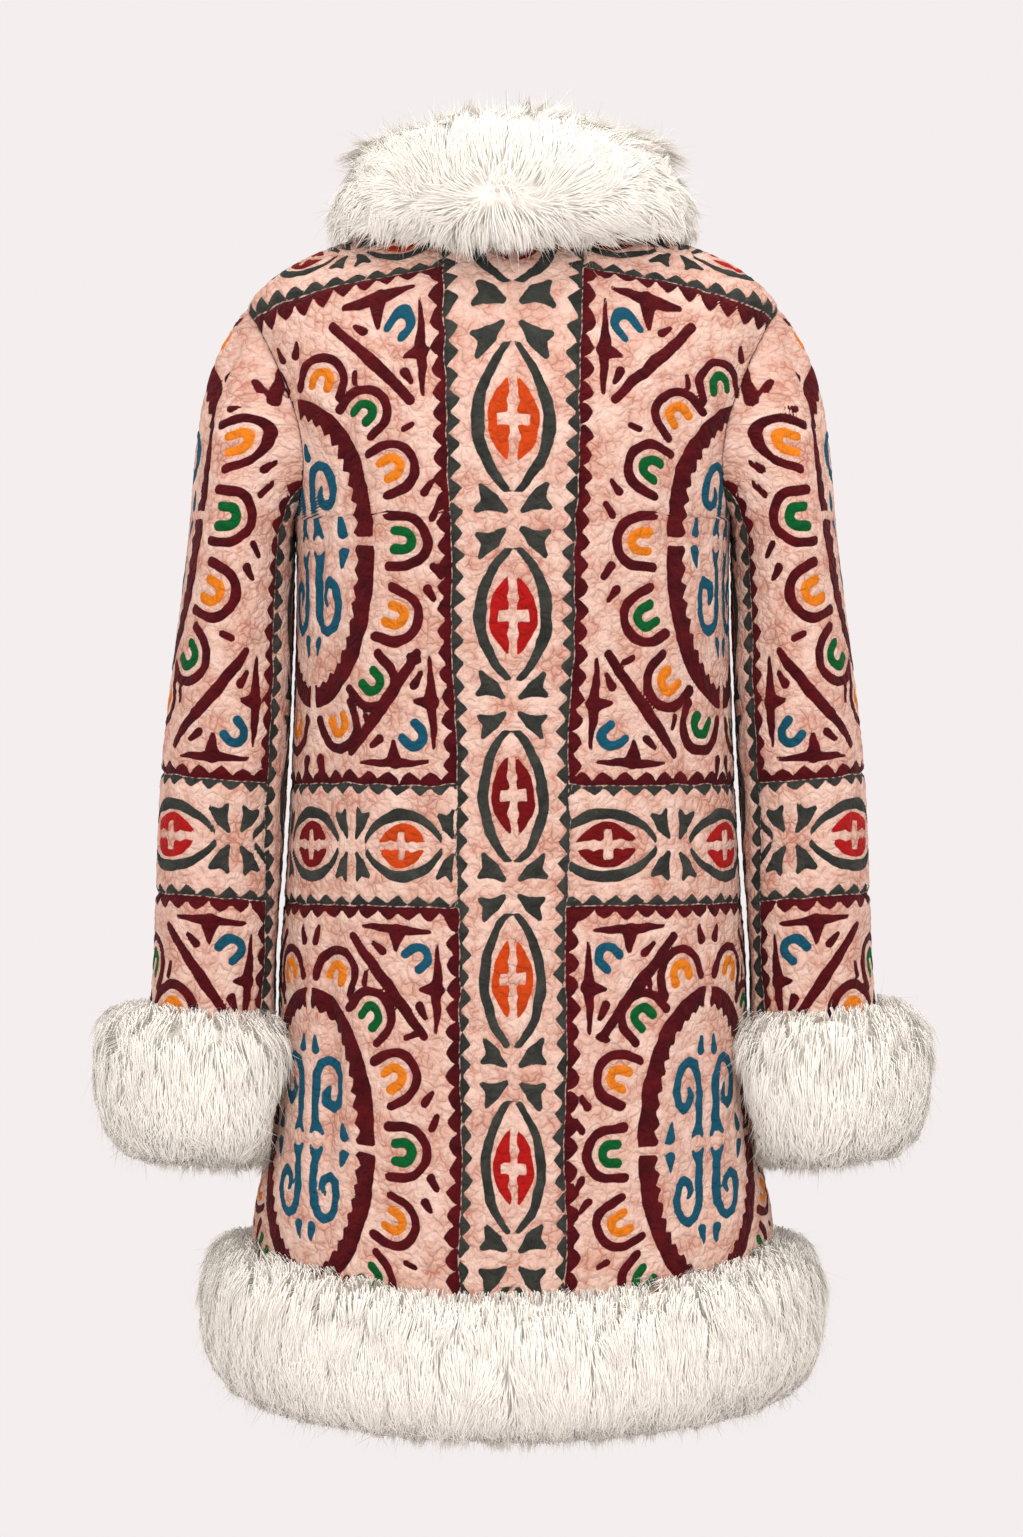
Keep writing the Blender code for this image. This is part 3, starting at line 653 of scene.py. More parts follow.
def oval_distance(u, v, half_width, half_height):
    """Distance outwards from an oval, close to true near its line."""
    size = np.sqrt((u / half_width) ** 2 + (v / half_height) ** 2) + 1e-9
    slope = np.hypot(u / half_width**2, v / half_height**2) / size + 1e-9
    return (size - 1) / slope


def zigzag(t, pitch):
    """Teeth from 0 to 1, one for each pitch along t."""
    return 1 - np.abs(2 * ((t / pitch) % 1.0) - 1)


class Pattern:
    """Collects the nearest distance to each kind of shape, and the colour of the nearest bright one."""

    def __init__(self, shape):
        self.maroon, self.charcoal, self.bright = (np.full(shape, FAR) for _ in range(3))
        self.colour = np.zeros((*shape, 4))
        self.colour[...] = (*COLOURS["teal"], 1.0)

    def shapes(self):
        return self.maroon, self.charcoal, self.bright

    def add(self, kind, distance, region):
        held = getattr(self, kind)
        np.minimum(held, np.maximum(distance, region), out=held)

    def add_bright(self, name, distance, region):
        distance = np.maximum(distance, region)
        nearer = distance < self.bright
        self.bright[nearer] = distance[nearer]
        self.colour[nearer] = (*COLOURS[name], 1.0)


def only(chosen):
    """A region as a distance: inside where chosen, far outside elsewhere."""
    return np.where(chosen, -FAR, FAR)


def band_ovals(pattern, along, across, region, pitch, colours):
    """Ovals between curved brackets along a band, with four leaves between each two ovals.

    along runs from the middle of the first oval, and pitch is the length from one oval to the next.
    """
    a = along * OVAL_PITCH / pitch
    number = np.round(a / OVAL_PITCH)
    a = np.abs(a - number * OVAL_PITCH)
    b = np.abs(across)
    stroke = BRACKET["stroke"] * (BRACKET["thick"] - BRACKET["thinning"] * (a / BRACKET["half_length"]) ** 2)
    line = np.abs(np.hypot(b + BRACKET["centre"], a) - BRACKET["radius"]) - stroke / 2
    pattern.add("charcoal", np.maximum(line, a - BRACKET["half_length"]), region)
    lens = np.hypot(b + LENS["centre"], a) - LENS["radius"]
    split = LENS["split"] + LENS["knob"] * np.exp(-(((a - LENS["knob_at"]) / LENS["knob_half"]) ** 2)) - b
    cross = np.minimum(LENS["cross_across"] - b, LENS["cross_along"] - a)
    shape = np.maximum(lens, np.maximum(split, cross))
    for step, name in enumerate(colours):
        pattern.add_bright(name, shape, np.maximum(region, only(number % len(colours) == step)))
    pattern.add("charcoal", bars(b, OVAL_PITCH / 2 - a, LEAF_BARS), region)


def medallion(pattern, u, v, region, scale, first):
    """Ring with teeth, four scrolls inside it, and fourteen arches with horseshoes round it."""
    u, v = np.abs(u) / scale, np.abs(v) / scale
    outward = oval_distance(u, v, RING["half_width"], RING["half_height"])
    turn = np.arctan2(v / RING["half_height"], u / RING["half_width"])
    teeth = RING["band"] + RING["tooth"] * zigzag(turn, 2 * math.pi / RING["teeth"])
    ring = np.maximum(outward, -(outward + teeth) * 0.8)
    ring = np.maximum(ring, RING["break"] - np.minimum(u, v))
    pattern.add("maroon", ring * scale, region)
    pattern.add("maroon", bars(u, v, DROP_BARS) * scale, region)
    reach = np.array([ARCH_RING["half_width"], ARCH_RING["half_height"]])
    for number, degrees in enumerate(ARCH_TURNS):
        way = np.array([math.cos(math.radians(degrees)), math.sin(math.radians(degrees))])
        at = reach * way
        facing = -unit(unit(way / reach) + unit(at))
        sides = (v, -v) if degrees == 0 else (v,)
        for side in sides:
            pattern.add("maroon", arch(u, side, at, facing, **ARCH) * scale, region)
            name = "amber" if (number + first) % 2 == 0 else "green"
            pattern.add_bright(name, arch(u, side, at, facing, **HORSESHOE) * scale, region)
    rows = [(a[0], a[1], b[0], b[1], a[2], b[2]) for a, b in zip(SCROLL[:-1], SCROLL[1:])]
    pattern.add_bright("teal", bars(u, v, (*rows, *MEDALLION_BARS)) * scale, region)


def teeth_distance(along, away, depth, start, rounded):
    """Distance to a row of teeth along a seam; away is the distance from the seam."""
    height = zigzag(along + start, SEAM["pitch"])
    height = np.sqrt(height) if rounded else height
    return (away - SEAM["strip"] - depth * height) * SEAM["slope"]


def cut_by_hand(first, second, fine_seed, broad_seed):
    """A cloth coordinate with the wander of shapes cut by hand, fine and broad."""
    fine = WANDER["fine"] * uneven(first, second, WANDER["fine_size"], fine_seed)
    return first + fine + WANDER["broad"] * uneven(first, second, WANDER["broad_size"], broad_seed)


def quilt(u, v, blocks, top_seam, on_sleeve):
    """Distances to every shape of the quilt at cloth coordinates u, across, and v, up, in millimetres.

    Bands run up and across, and each block between them has a medallion and four worked corners.
    """
    pattern = Pattern(u.shape)
    cut_u, cut_v = cut_by_hand(u, v, 1.0, 3.0), cut_by_hand(v, u, 5.0, 8.0)
    side = np.where(u > 0, 0, 1)
    upper = cut_v > BAND_MIDDLE
    half = np.where(upper, blocks["upper"][0], blocks["lower"][0])
    if on_sleeve:
        cut_u = cut_u - SLEEVE_TURNED
        away = np.abs(cut_u)
        from_band = np.abs(BAND_HALF + half - away)
        middle = np.full(u.shape, BAND_MIDDLE)
    else:
        away = np.abs(cut_u)
        half_band = smooth_read(*np.array(MIDDLE_BAND).T, cut_v)
        away = np.where(away < half_band, away * BAND_HALF / half_band, away - half_band + BAND_HALF)
        period = 2 * half + 2 * BAND_HALF
        from_band = np.abs(away - period * np.round(away / period))
        middle = np.where(cut_v > (top_seam + HIGH_BAND_LEVEL) / 2, top_seam + LEVEL_BAND_HALF, BAND_MIDDLE)
    to_upright = from_band - BAND_HALF
    to_level = np.abs(cut_v - middle) - LEVEL_BAND_HALF
    in_level = np.maximum(to_level, -to_upright)
    in_block = np.maximum(-to_upright, -to_level)
    if on_sleeve:
        pattern.add("maroon", bars(away, cut_v, SLEEVE_TOP_BARS), in_block)
        plain = np.maximum(np.minimum(cut_v - SLEEVE_PLAIN["level"], away - SLEEVE_PLAIN["across"]),
                           np.minimum(cut_v - SLEEVE_PLAIN["top_level"], away - SLEEVE_PLAIN["top_across"]))
        in_block = np.maximum(in_block, plain)

    # Seams: charcoal teeth point into the bands, maroon teeth into the blocks
    beside, above = np.abs(to_upright), np.abs(to_level)
    seams = ((cut_v, beside, to_upright, 1.0), (cut_u, above, in_level, SEAM["low_share"]))
    for along, off, inside, depth in seams:
        dark = teeth_distance(along, off, SEAM["dark_depth"] * depth, SEAM["dark_start"], False)
        pattern.add("charcoal", dark, inside)
        red = teeth_distance(along, off, SEAM["red_depth"], SEAM["red_start"], True)
        pattern.add("maroon", red, in_block)
    pattern.seam = np.where((to_upright < 0) | (beside < above), to_upright, to_level)

    # Bands
    raised = cut_v - OVAL_RISE["by"] * smooth_step(cut_v, OVAL_RISE["from"], OVAL_RISE["to"])
    band_ovals(pattern, raised - OVAL_LEVEL, from_band, to_upright, OVAL_PITCH, OVAL_COLOURS["upright"])
    for number, name in enumerate(("left", "right")):
        name = "sleeve" if on_sleeve else name
        first, pitch = LEVEL_OVALS[name]
        here = np.maximum(in_level, only(side == number))
        band_ovals(pattern, np.abs(cut_u) - first, cut_v - middle, here, pitch, OVAL_COLOURS[name])

    # Blocks
    for row, chosen in (("upper", upper), ("lower", ~upper)):
        half_width, level, scale, *sides = blocks[row]
        for number, (shift, first) in enumerate(zip(sides[:2], sides[2:])):
            across = away if on_sleeve else half_width + BAND_HALF + shift - away
            here = np.maximum(in_block, only(chosen & (side == number)))
            medallion(pattern, across, cut_v - level, here, scale, first)
    pattern.add("maroon", bars(beside, above, CORNER_BARS), in_block)
    facing = (math.sqrt(0.5), math.sqrt(0.5))
    pattern.add_bright("teal", arch(beside, above, facing=facing, **CORNER_HORSESHOE), in_block)
    ragged = WANDER["ragged"] * uneven(u, v, WANDER["ragged_size"], 4.0)
    for shapes in pattern.shapes():
        shapes += ragged
    return pattern


def quilt_relief(pattern, u, v, puff):
    """Height of the cloth's face: puffed, but drawn down at seams, at shape edges and at echo lines."""
    outside = np.minimum.reduce(pattern.shapes())
    drawn = np.exp(-((np.abs(pattern.shapes()).min(axis=0) / STITCHED_HALF) ** 2))
    for away, share, half_width in ECHO_LINES:
        drawn = drawn + share * np.exp(-(((outside - away) / half_width) ** 2))
    (fine, fine_size), (broad, broad_size) = CRINKLES
    crinkle = fine * uneven(u, v, fine_size, 0.6) + broad * uneven(u + v, v - u, broad_size, 2.2)
    seam = np.exp(-((pattern.seam / SEAM_HALF) ** 2))
    lift = RELIEF["rest"] + RELIEF["crinkle"] * crinkle
    return puff * (lift - RELIEF["drawn"] * drawn - RELIEF["seam"] * seam)


# Meshes


def new_mesh(name, points, faces):
    """A mesh from arrays: faces is a list of arrays, each with one face per row."""
    sizes = np.concatenate([np.full(len(block), block.shape[1]) for block in faces])
    corners = np.concatenate([block.ravel() for block in faces])
    mesh = bpy.data.meshes.new(name)
    mesh.vertices.add(len(points))
    mesh.vertices.foreach_set("co", np.asarray(points, np.float32).ravel())
    mesh.loops.add(len(corners))
    mesh.loops.foreach_set("vertex_index", corners.astype(np.int32))
    mesh.polygons.add(len(sizes))
    starts = np.concatenate([[0], np.cumsum(sizes)[:-1]])
    mesh.polygons.foreach_set("loop_start", starts.astype(np.int32))
    mesh.polygons.foreach_set("use_smooth", np.ones(len(sizes), bool))
    mesh.update(calc_edges=True)
    if mesh.validate():
        raise RuntimeError(f"{name} has faces that don't fit together")
    return mesh


def quads(a, b, c, d):
    return np.stack([a.ravel(), b.ravel(), c.ravel(), d.ravel()], axis=-1)


def shell_faces(rows, cols, stride, closed_round, turned):
    """Faces of a closed wall: a fine outer grid, an inner grid of every stride-th point, and a rim."""
    number = np.arange(rows * cols).reshape(rows, cols)
    inner_rows = np.arange(0, rows, stride)
    inner_cols = np.arange(0, cols, stride)
    inner = np.arange(len(inner_rows) * len(inner_cols)).reshape(len(inner_rows), -1) + rows * cols
    if closed_round:
        number = np.concatenate([number, number[:, :1]], axis=1)
        inner = np.concatenate([inner, inner[:, :1]], axis=1)
    faces = [
        quads(number[:-1, :-1], number[:-1, 1:], number[1:, 1:], number[1:, :-1]),
        quads(inner[:-1, :-1], inner[1:, :-1], inner[1:, 1:], inner[:-1, 1:]),
    ]
    edges = [(number[0], inner[0], True), (number[-1], inner[-1], False)]
    if not closed_round:
        edges += [(number[:, 0], inner[:, 0], False), (number[:, -1], inner[:, -1], True)]
    for fine, coarse, backwards in edges:
        first = np.arange(len(coarse) - 1)
        fine_run = np.stack([fine[first * stride + k] for k in range(stride + 1)], axis=-1)
        block = np.concatenate([fine_run, coarse[first + 1][:, None], coarse[first][:, None]], axis=1)
        faces.append(block[:, ::-1] if backwards else block)
    if turned:
        faces = [block[:, ::-1] for block in faces]
    return faces, inner_rows, inner_cols


def store(mesh, name, values, kind="FLOAT", field="value"):
    """Keeps a value for each point of the mesh."""
    layer = mesh.attributes.new(name, kind, "POINT")
    layer.data.foreach_set(field, np.asarray(values, np.float32).ravel())


def link_piece(name, node, mesh, material):
    """Adds a piece to the scene, in the place of one solid."""
    piece = bpy.data.objects.new(name, mesh)
    bpy.context.scene.collection.objects.link(piece)
    mesh.materials.append(material)
    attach(piece, "root")
    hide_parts(node)
    return piece


def cloth_piece(node, outer, normals, pattern, u, v, pattern_v, settings, closed_round, turned, material):
    """A cloth wall with its pattern stored on its points, standing for one solid.

    Its face is lifted by the quilting, but for the edges, which stay on the cut.
    """
    relief = quilt_relief(pattern, u, pattern_v, settings.puff)
    held = np.zeros(relief.shape)
    held[[0, -1], :] = 1
    held[[1, -2], 1:-1] = 0.5
    if closed_round:
        held[[1, -2], :] = 0.5
    else:
        held[:, [0, -1]] = 1
        held[1:-1, [1, -2]] = 0.5
    rows, cols = outer.shape[:2]
    faces, inner_rows, inner_cols = shell_faces(rows, cols, STRIDE, closed_round, turned)
    pick = np.ix_(inner_rows, inner_cols)
    face = outer + normals * (relief * (1 - held))[..., None]
    inner = (outer - normals * settings.thickness)[pick]
    more = inner.shape[0] * inner.shape[1]
    mesh = new_mesh(node + "_cloth", np.concatenate([face.reshape(-1, 3), inner.reshape(-1, 3)]), faces)
    for label in ("maroon", "charcoal", "bright", "seam"):
        store(mesh, label, np.append(getattr(pattern, label).ravel(), np.full(more, FAR)))
    nearest = np.minimum.reduce(pattern.shapes())
    store(mesh, "any_shape", np.append(nearest.ravel(), np.full(more, FAR)))
    store(mesh, "inside", np.append(np.zeros(rows * cols), np.ones(more)))
    colour = np.concatenate([pattern.colour.reshape(-1, 4), np.ones((more, 4))])
    store(mesh, "bright_colour", colour, "FLOAT_COLOR", "color")
    across, up = (np.append(values.ravel(), values[pick].ravel()) for values in (u, v))
    place = np.stack([across, up, np.zeros_like(up)], axis=-1) * MM
    store(mesh, "cloth_place", place, "FLOAT_VECTOR", "vector")
    piece = link_piece(node + "_cloth", node, mesh, material)


# Materials


def put(tree, socket, value):
    """Links a socket's value to an input, or stores a number or a colour in it."""
    if isinstance(value, bpy.types.NodeSocket):
        tree.links.new(value, socket)
    else:
        socket.default_value = value


def add_node(tree, kind, *inputs, **settings):
    """A node's outputs: inputs are set in their order, and settings by the name of property or input."""
    node = tree.nodes.new("ShaderNode" + kind)
    for name, value in settings.items():
        if hasattr(node, name):
            setattr(node, name, value)
        else:
            put(tree, node.inputs[name.replace("_", " ")], value)
    for socket, value in zip(node.inputs, inputs):
        put(tree, socket, value)
    return node.outputs


def calculate(tree, operation, *values):
    """One step of arithmetic."""
    return add_node(tree, "Math", *values, operation=operation)["Value"]


def map_range(tree, value, low, high, to_low=0.0, to_high=1.0):
    """A value carried from one range to another, held at its ends."""
    return add_node(tree, "MapRange", value, low, high, to_low, to_high)["Result"]


def stored(tree, name, output="Fac"):
    """A value kept on the points of the mesh."""
    return add_node(tree, "Attribute", attribute_name=name)[output]


def mix_colour(tree, factor, first, second):
    """Colour mix; first and second are colours or sockets."""
    node = tree.nodes.new("ShaderNodeMix")
    node.data_type = "RGBA"
    put(tree, node.inputs[0], factor)
    for socket, value in ((node.inputs[6], first), (node.inputs[7], second)):
        put(tree, socket, value if isinstance(value, bpy.types.NodeSocket) else (*value, 1.0))
    return node.outputs[2]


def new_group(name, takes, gives):
    """An empty shared effect; takes and gives name its inputs and outputs and their kinds of value."""
    group = bpy.data.node_groups.new(name, "ShaderNodeTree")
    for way, sockets in (("INPUT", takes), ("OUTPUT", gives)):
        for label, kind in sockets.items():
            group.interface.new_socket(label, in_out=way, socket_type="NodeSocket" + kind)
    return group, group.nodes.new("NodeGroupInput").outputs, group.nodes.new("NodeGroupOutput").inputs


def crinkle_group():
    """Shared effect: crinkled cotton, as a mottle mask, a mask of painted shade in the creases and a height at
    a place on the cloth.
    """
    group, start, end = new_group("crinkled_cotton", {"Place": "Vector"},
                                  {"Mottle": "Float", "Crease": "Float", "Height": "Float"})
    warp = add_node(group, "TexNoise", start["Place"], Scale=95.0, Detail=2.0)["Color"]
    place = add_node(group, "VectorMath", warp, (0.010, 0.014, 0.010), start["Place"],
                     operation="MULTIPLY_ADD")["Vector"]
    cells = add_node(group, "TexVoronoi", place, feature="DISTANCE_TO_EDGE", Scale=118.0)["Distance"]
    dye = add_node(group, "TexNoise", start["Place"], Scale=38.0, Detail=5.0, Roughness=0.68)["Fac"]
    ribs = add_node(group, "Mapping", place, vector_type="POINT", Scale=(1.0, 0.22, 1.0))["Vector"]
    fine = add_node(group, "TexNoise", ribs, Scale=330.0, Detail=3.0, Roughness=0.6)["Fac"]
    # Painted shade: a mask on the cells' edges, where the crinkles' creases lie
    crease = map_range(group, cells, 0.0, 0.12, 1.0, 0.0)
    put(group, end["Mottle"], map_range(group, dye, 0.38, 0.64))
    put(group, end["Crease"], calculate(group, "MULTIPLY", crease, map_range(group, dye, 0.45, 0.60)))
    domes = map_range(group, cells, 0.0, 0.34)
    put(group, end["Height"], calculate(group, "MULTIPLY_ADD", fine, 0.75, domes))
    return group


def quilting_group():
    """Shared effect: running stitches that echo each shape, and light stitches on the seams.

    Height is 0 on a stitched line and 1 between lines; Stitch is 1 on a stitch of a seam.
    """
    group, start, end = new_group("echo_quilting", {"Distance": "Float", "Seam": "Float", "Place": "Vector"},
                                  {"Height": "Float", "Stitch": "Float"})
    wave = calculate(group, "PINGPONG", start["Distance"], 3.4)
    put(group, end["Height"], map_range(group, wave, 0.0, 1.7))
    split = add_node(group, "SeparateXYZ", start["Place"])
    dashes = calculate(group, "PINGPONG", calculate(group, "ADD", split["X"], split["Y"]), 0.0031)
    line = map_range(group, calculate(group, "ABSOLUTE", start["Seam"]), 0.30, 0.55, 1.0, 0.0)
    stitch = calculate(group, "MULTIPLY", map_range(group, dashes, 0.0016, 0.0021), line)
    put(group, end["Stitch"], stitch)
    return group


def new_material(name, **settings):
    """A material, its nodes, and the inputs of its shader with some of them set."""
    material = bpy.data.materials.new(name)
    material.use_nodes = True
    shader = material.node_tree.nodes["Principled BSDF"].inputs
    for label, value in settings.items():
        shader[label.replace("_", " ")].default_value = value
    return material, material.node_tree, shader


def quilt_material():
    """Mottled pink cotton with painted shade in its creases, the applique shapes cut in, and a plain inner
    side.
    """
    material, tree, shader = new_material("quilted_cotton_look", Roughness=0.85, Sheen_Weight=0.03,
                                          Specular_IOR_Level=0.08)
    place = stored(tree, "cloth_place", "Vector")
    crinkle = add_node(tree, "Group", node_tree=crinkle_group(), Place=place)
    quilting = add_node(tree, "Group", node_tree=quilting_group(), Place=place,
                        Distance=stored(tree, "any_shape"), Seam=stored(tree, "seam"))
    mottle = crinkle["Mottle"]
    colour = mix_colour(tree, mottle, COLOURS["cotton_pale"], COLOURS["cotton"])
    # Painted shade: the creases are coloured a deeper pink, as if shade fell in them
    crease_shade = calculate(tree, "MULTIPLY", crinkle["Crease"], 0.75)
    colour = mix_colour(tree, crease_shade, colour, COLOURS["cotton_crease_shade"])
    bright = stored(tree, "bright_colour", "Color")
    deeper = add_node(tree, "HueSaturation", Value=0.8, Color=bright)["Color"]
    shades = (
        ("charcoal", COLOURS["charcoal"], COLOURS["charcoal_light"]),
        ("maroon", COLOURS["maroon"], COLOURS["maroon_light"]),
        ("bright", deeper, bright),
    )
    for name, dark, light in shades:
        inside_shape = map_range(tree, stored(tree, name), -0.3, 0.3, 1.0, 0.0)
        colour = mix_colour(tree, inside_shape, colour, mix_colour(tree, mottle, dark, light))
    stitch = calculate(tree, "MULTIPLY", quilting["Stitch"], 0.35)
    colour = mix_colour(tree, stitch, colour, COLOURS["thread"])
    put(tree, shader["Base Color"], mix_colour(tree, stored(tree, "inside"), colour, COLOURS["lining"]))
    height = calculate(tree, "MULTIPLY_ADD", quilting["Height"], 0.32, crinkle["Height"])
    bump = add_node(tree, "Bump", Strength=0.75, Distance=0.0019, Height=height)
    put(tree, shader["Normal"], bump["Normal"])
    return material


def fur_material():
    """Ivory pile, a little darker towards its roots and in some locks.

    A faint glow stands for the light that passes on from hair to hair.
    """
    material, tree, shader = new_material("cream_fur_look", Roughness=0.7, Specular_IOR_Level=0.15,
                                          Emission_Strength=0.08)
    rise = map_range(tree, stored(tree, "along_hair"), 0.0, 0.45)
    colour = mix_colour(tree, rise, COLOURS["fur_root"], COLOURS["fur"])
    shade = calculate(tree, "MULTIPLY", stored(tree, "hair_shade"), 0.5)
    colour = mix_colour(tree, shade, colour, COLOURS["fur_shade"])
    put(tree, shader["Base Color"], colour)
    put(tree, shader["Emission Color"], colour)
    return material


def get_material(name, make):
    return bpy.data.materials.get(name) or make()


# Body and sleeves


def spread_along(start, end, level, count):
    """Angles on one level that share the cloth's length out evenly, and their lengths in millimetres."""
    fine = np.linspace(start, end, 301)
    steps = np.linalg.norm(np.diff(body_point(fine, level), axis=0), axis=-1)
    travelled = np.concatenate([[0.0], np.cumsum(steps)])
    lengths = np.linspace(0, travelled[-1], count)
    return np.interp(lengths, travelled, fine), lengths / MM


def yoke_height(level, angle):
    """Millimetres up the cloth: the level, and past the armhole the real length over the shoulder."""
    levels = np.linspace(UNDERARM_LEVEL, NECK_LEVEL, 80)
    angles = np.linspace(0, math.pi / 2, 31)
    grid = body_point(angles[None, :], levels[:, None])
    steps = np.linalg.norm(np.diff(grid, axis=0), axis=-1)
    run = np.concatenate([np.zeros((1, 31)), np.cumsum(steps, axis=0)])
    bent = np.arcsin(np.clip(np.abs(np.sin(angle)), 0, 1))
    column = np.clip(bent / (math.pi / 2) * 30, 0, 30)
    row = np.clip((level - levels[0]) / (levels[1] - levels[0]), 0, 79)
    r0, c0 = np.minimum(row.astype(int), 78), np.minimum(column.astype(int), 29)
    fr, fc = row - r0, column - c0
    length = (run[r0, c0] * (1 - fr) * (1 - fc) + run[r0 + 1, c0] * fr * (1 - fc)
              + run[r0, c0 + 1] * (1 - fr) * fc + run[r0 + 1, c0 + 1] * fr * fc)
    return np.where(level > UNDERARM_LEVEL, UNDERARM_LEVEL + length / MM, level)


def yoke_pattern(up, across, level):
    """Height in the quilt's pattern: it droops towards the armholes and is drawn up under the collar."""
    past_band = np.abs(across) - BAND_HALF
    droop = np.clip((level - UNDERARM_LEVEL) / YOKE["droop_rise"], 0, 1)
    outer = np.clip(past_band / YOKE["outer_reach"], 0, 1)
    height = up + droop * YOKE["droop"] * past_band / YOKE["droop_reach"]
    middle = smooth_step(up, YOKE["middle_from"], YOKE["middle_to"])
    top = smooth_step(up, YOKE["top_from"], YOKE["top_to"])
    height = height - YOKE["middle_lift"] * middle * (1 - outer)
    return height - top * (YOKE["top_lift"] + YOKE["outer_lift"] * outer)


def body_panel(name, side, settings, material):
    """One body panel as a grid: level on one axis and cloth length round the oval on the other.

    side is "back", "left" or "right". Each row spreads its points evenly from edge to edge.
    """
    widest = BACK_WIDTH if side == "back" else FRONT_WIDTH
    spacing = settings.spacing if side == "back" else settings.spacing * FRONT_COARSENESS
    cols = int(widest / spacing / STRIDE / 2) * STRIDE * 2 + 1
    rows = int(NECK_LEVEL * MM / spacing / STRIDE) * STRIDE + 1
    levels = np.linspace(0, NECK_LEVEL, rows)
    angles, across = np.zeros((rows, cols)), np.zeros((rows, cols))
    half = (cols - 1) // 2
    for i, level in enumerate(levels):
        if side == "back":
            edge = side_edge_angle(level, ARMHOLE_BACK, "back_depth")
            left, lengths = spread_along(math.pi / 2, edge, level, half + 1)
            angles[i, half::-1], angles[i, half:] = left, math.pi - left
            across[i, half::-1], across[i, half:] = lengths, -lengths
            continue
        edge = -side_edge_angle(level, ARMHOLE_FRONT, "front_depth")
        row, lengths = spread_along(-angle_at_x(FRONT_OPENING / 2, level), edge, level, cols)
        if side == "left":
            angles[i], across[i] = row, lengths - BAND_HALF
        else:
            angles[i], across[i] = -math.pi - row[::-1], BAND_HALF - lengths[::-1]
    level = np.repeat(levels[:, None], cols, axis=1)
    up = yoke_height(level, angles)
    pattern_up = yoke_pattern(up, across, level)
    pattern = quilt(across, pattern_up, BODY_BLOCKS, BODY_TOP_SEAM, on_sleeve=False)
    cloth_piece(name, body_point(angles, level, 1.0), body_normal(angles, level), pattern, across, up,
                pattern_up, settings, closed_round=False, turned=False, material=material)


def lean_on_body(points, turn):
    """Left sleeve's points with its inner side moved over, to hang close against the body's side seam."""
    side_foot = body_point(0.0, 0.0)[2]
    side = body_point(0.0, (points[..., 2] - side_foot) / MM)[..., 0]
    gap = np.clip(points[..., 0] - side - SLEEVE_HANGS_CLEAR, 0, SLEEVE_LEANS_MOST)
    drop = -points[..., 2] / MM
    hanging = smooth_step(drop, 160, 215) * (1 - smooth_step(drop, CUFF_SEAM_DROP - 30, CUFF_SEAM_DROP - 5))
    moved = points.copy()
    moved[..., 0] -= gap * hanging * np.clip(np.cos(turn), 0, 1) ** 4
    return moved


def sleeve_piece(name, mirrored, settings, material):
    """One sleeve as a grid: turn round it, and cloth length down it from the armhole to the cuff seam.

    Its pattern is measured from its outer line, and up from the cuff, as if the sleeve were laid flat.
    """
    spacing = settings.spacing * SLEEVE_COARSENESS
    cols = int(SLEEVE_WIDTH / spacing / STRIDE) * STRIDE
    cap_rows = int(CAP_LENGTH / spacing / STRIDE) * STRIDE
    low_rows = int((CUFF_SEAM_DROP - BICEP_DROP) * MM / spacing / STRIDE) * STRIDE
    turns = np.linspace(0, 2 * math.pi, cols, endpoint=False)
    along = np.concatenate([np.linspace(0, 1, cap_rows, endpoint=False), np.linspace(1, 2, low_rows + 1)])
    turn, along = np.meshgrid(turns, along)
    outer = lean_on_body(sleeve_point(turn, along, 1.0), turn)
    plain = lean_on_body(sleeve_point(turn, along), turn)
    steps = np.linalg.norm(np.diff(plain, axis=0), axis=-1) / MM
    run = np.concatenate([np.zeros((1, cols)), np.cumsum(steps, axis=0)])
    drop = CUFF_SEAM_DROP - (run[-1:] - run)
    width = np.linalg.norm(np.roll(plain, -1, axis=1) - plain, axis=-1) / MM
    round_length = np.cumsum(width, axis=1) - width
    middle = cols // 2
    across = round_length - round_length[:, middle:middle + 1]
    # The cap's rows are laid out to the same width as the row below them
    flat_cap = across.copy()
    flat_cap[:, :middle] *= across[cap_rows, 0] / across[:, :1]
    flat_cap[:, middle:] *= across[cap_rows, -1] / across[:, -1:]
    across[:cap_rows] = flat_cap[:cap_rows]
    up = SLEEVE_LEVEL_AT_SHOULDER - drop
    pattern = quilt(across, up, SLEEVE_BLOCKS, SLEEVE_TOP_SEAM, on_sleeve=True)
    flip = MIRROR if mirrored else np.ones(3)
    cloth_piece(name, outer * flip, grid_normals(plain) * flip, pattern, across, up, up, settings,
                closed_round=True, turned=mirrored, material=material)


# Fur


def blend_round(values, angle):
    """A value given at the side, back and front, carried smoothly round the body."""
    far = np.where(np.sin(angle) >= 0, values["back"], values["front"])
    return values["side"] + (far - values["side"]) * np.sin(angle) ** 2


def section_read(table, name, share):
    """A column of a section table read at shares from 0 to 1 round the section."""
    return smooth_read(np.linspace(0, 1, len(table[name])), table[name], share)


def hem_surface(angle, share, inset):
    """Point on the hem's fur form; share runs over it from the cloth seam to its foot."""
    reach = section_read(HEM_FUR, "reach_mm", share) * MM
    fall = HEM_HEART + (section_read(HEM_FUR, "fall", share) - HEM_HEART) * (1 - inset)
    top = blend_round(HEM_FUR_TOP, angle)
    z = top + (blend_round(HEM_FUR_FOOT, angle) - top) * fall
    z_hem = body_point(angle, 0.0)[..., 2]
    level = (z - z_hem) / (body_point(angle, HEM_RISE)[..., 2] - z_hem) * HEM_RISE
    skin, normal = body_point(angle, level), unit(body_normal(angle, level) * (1, 1, 0))
    point = skin + normal * (np.maximum(reach, LEAST_REACH) * (1 - inset))[..., None]
    point[..., 2] = z
    return point


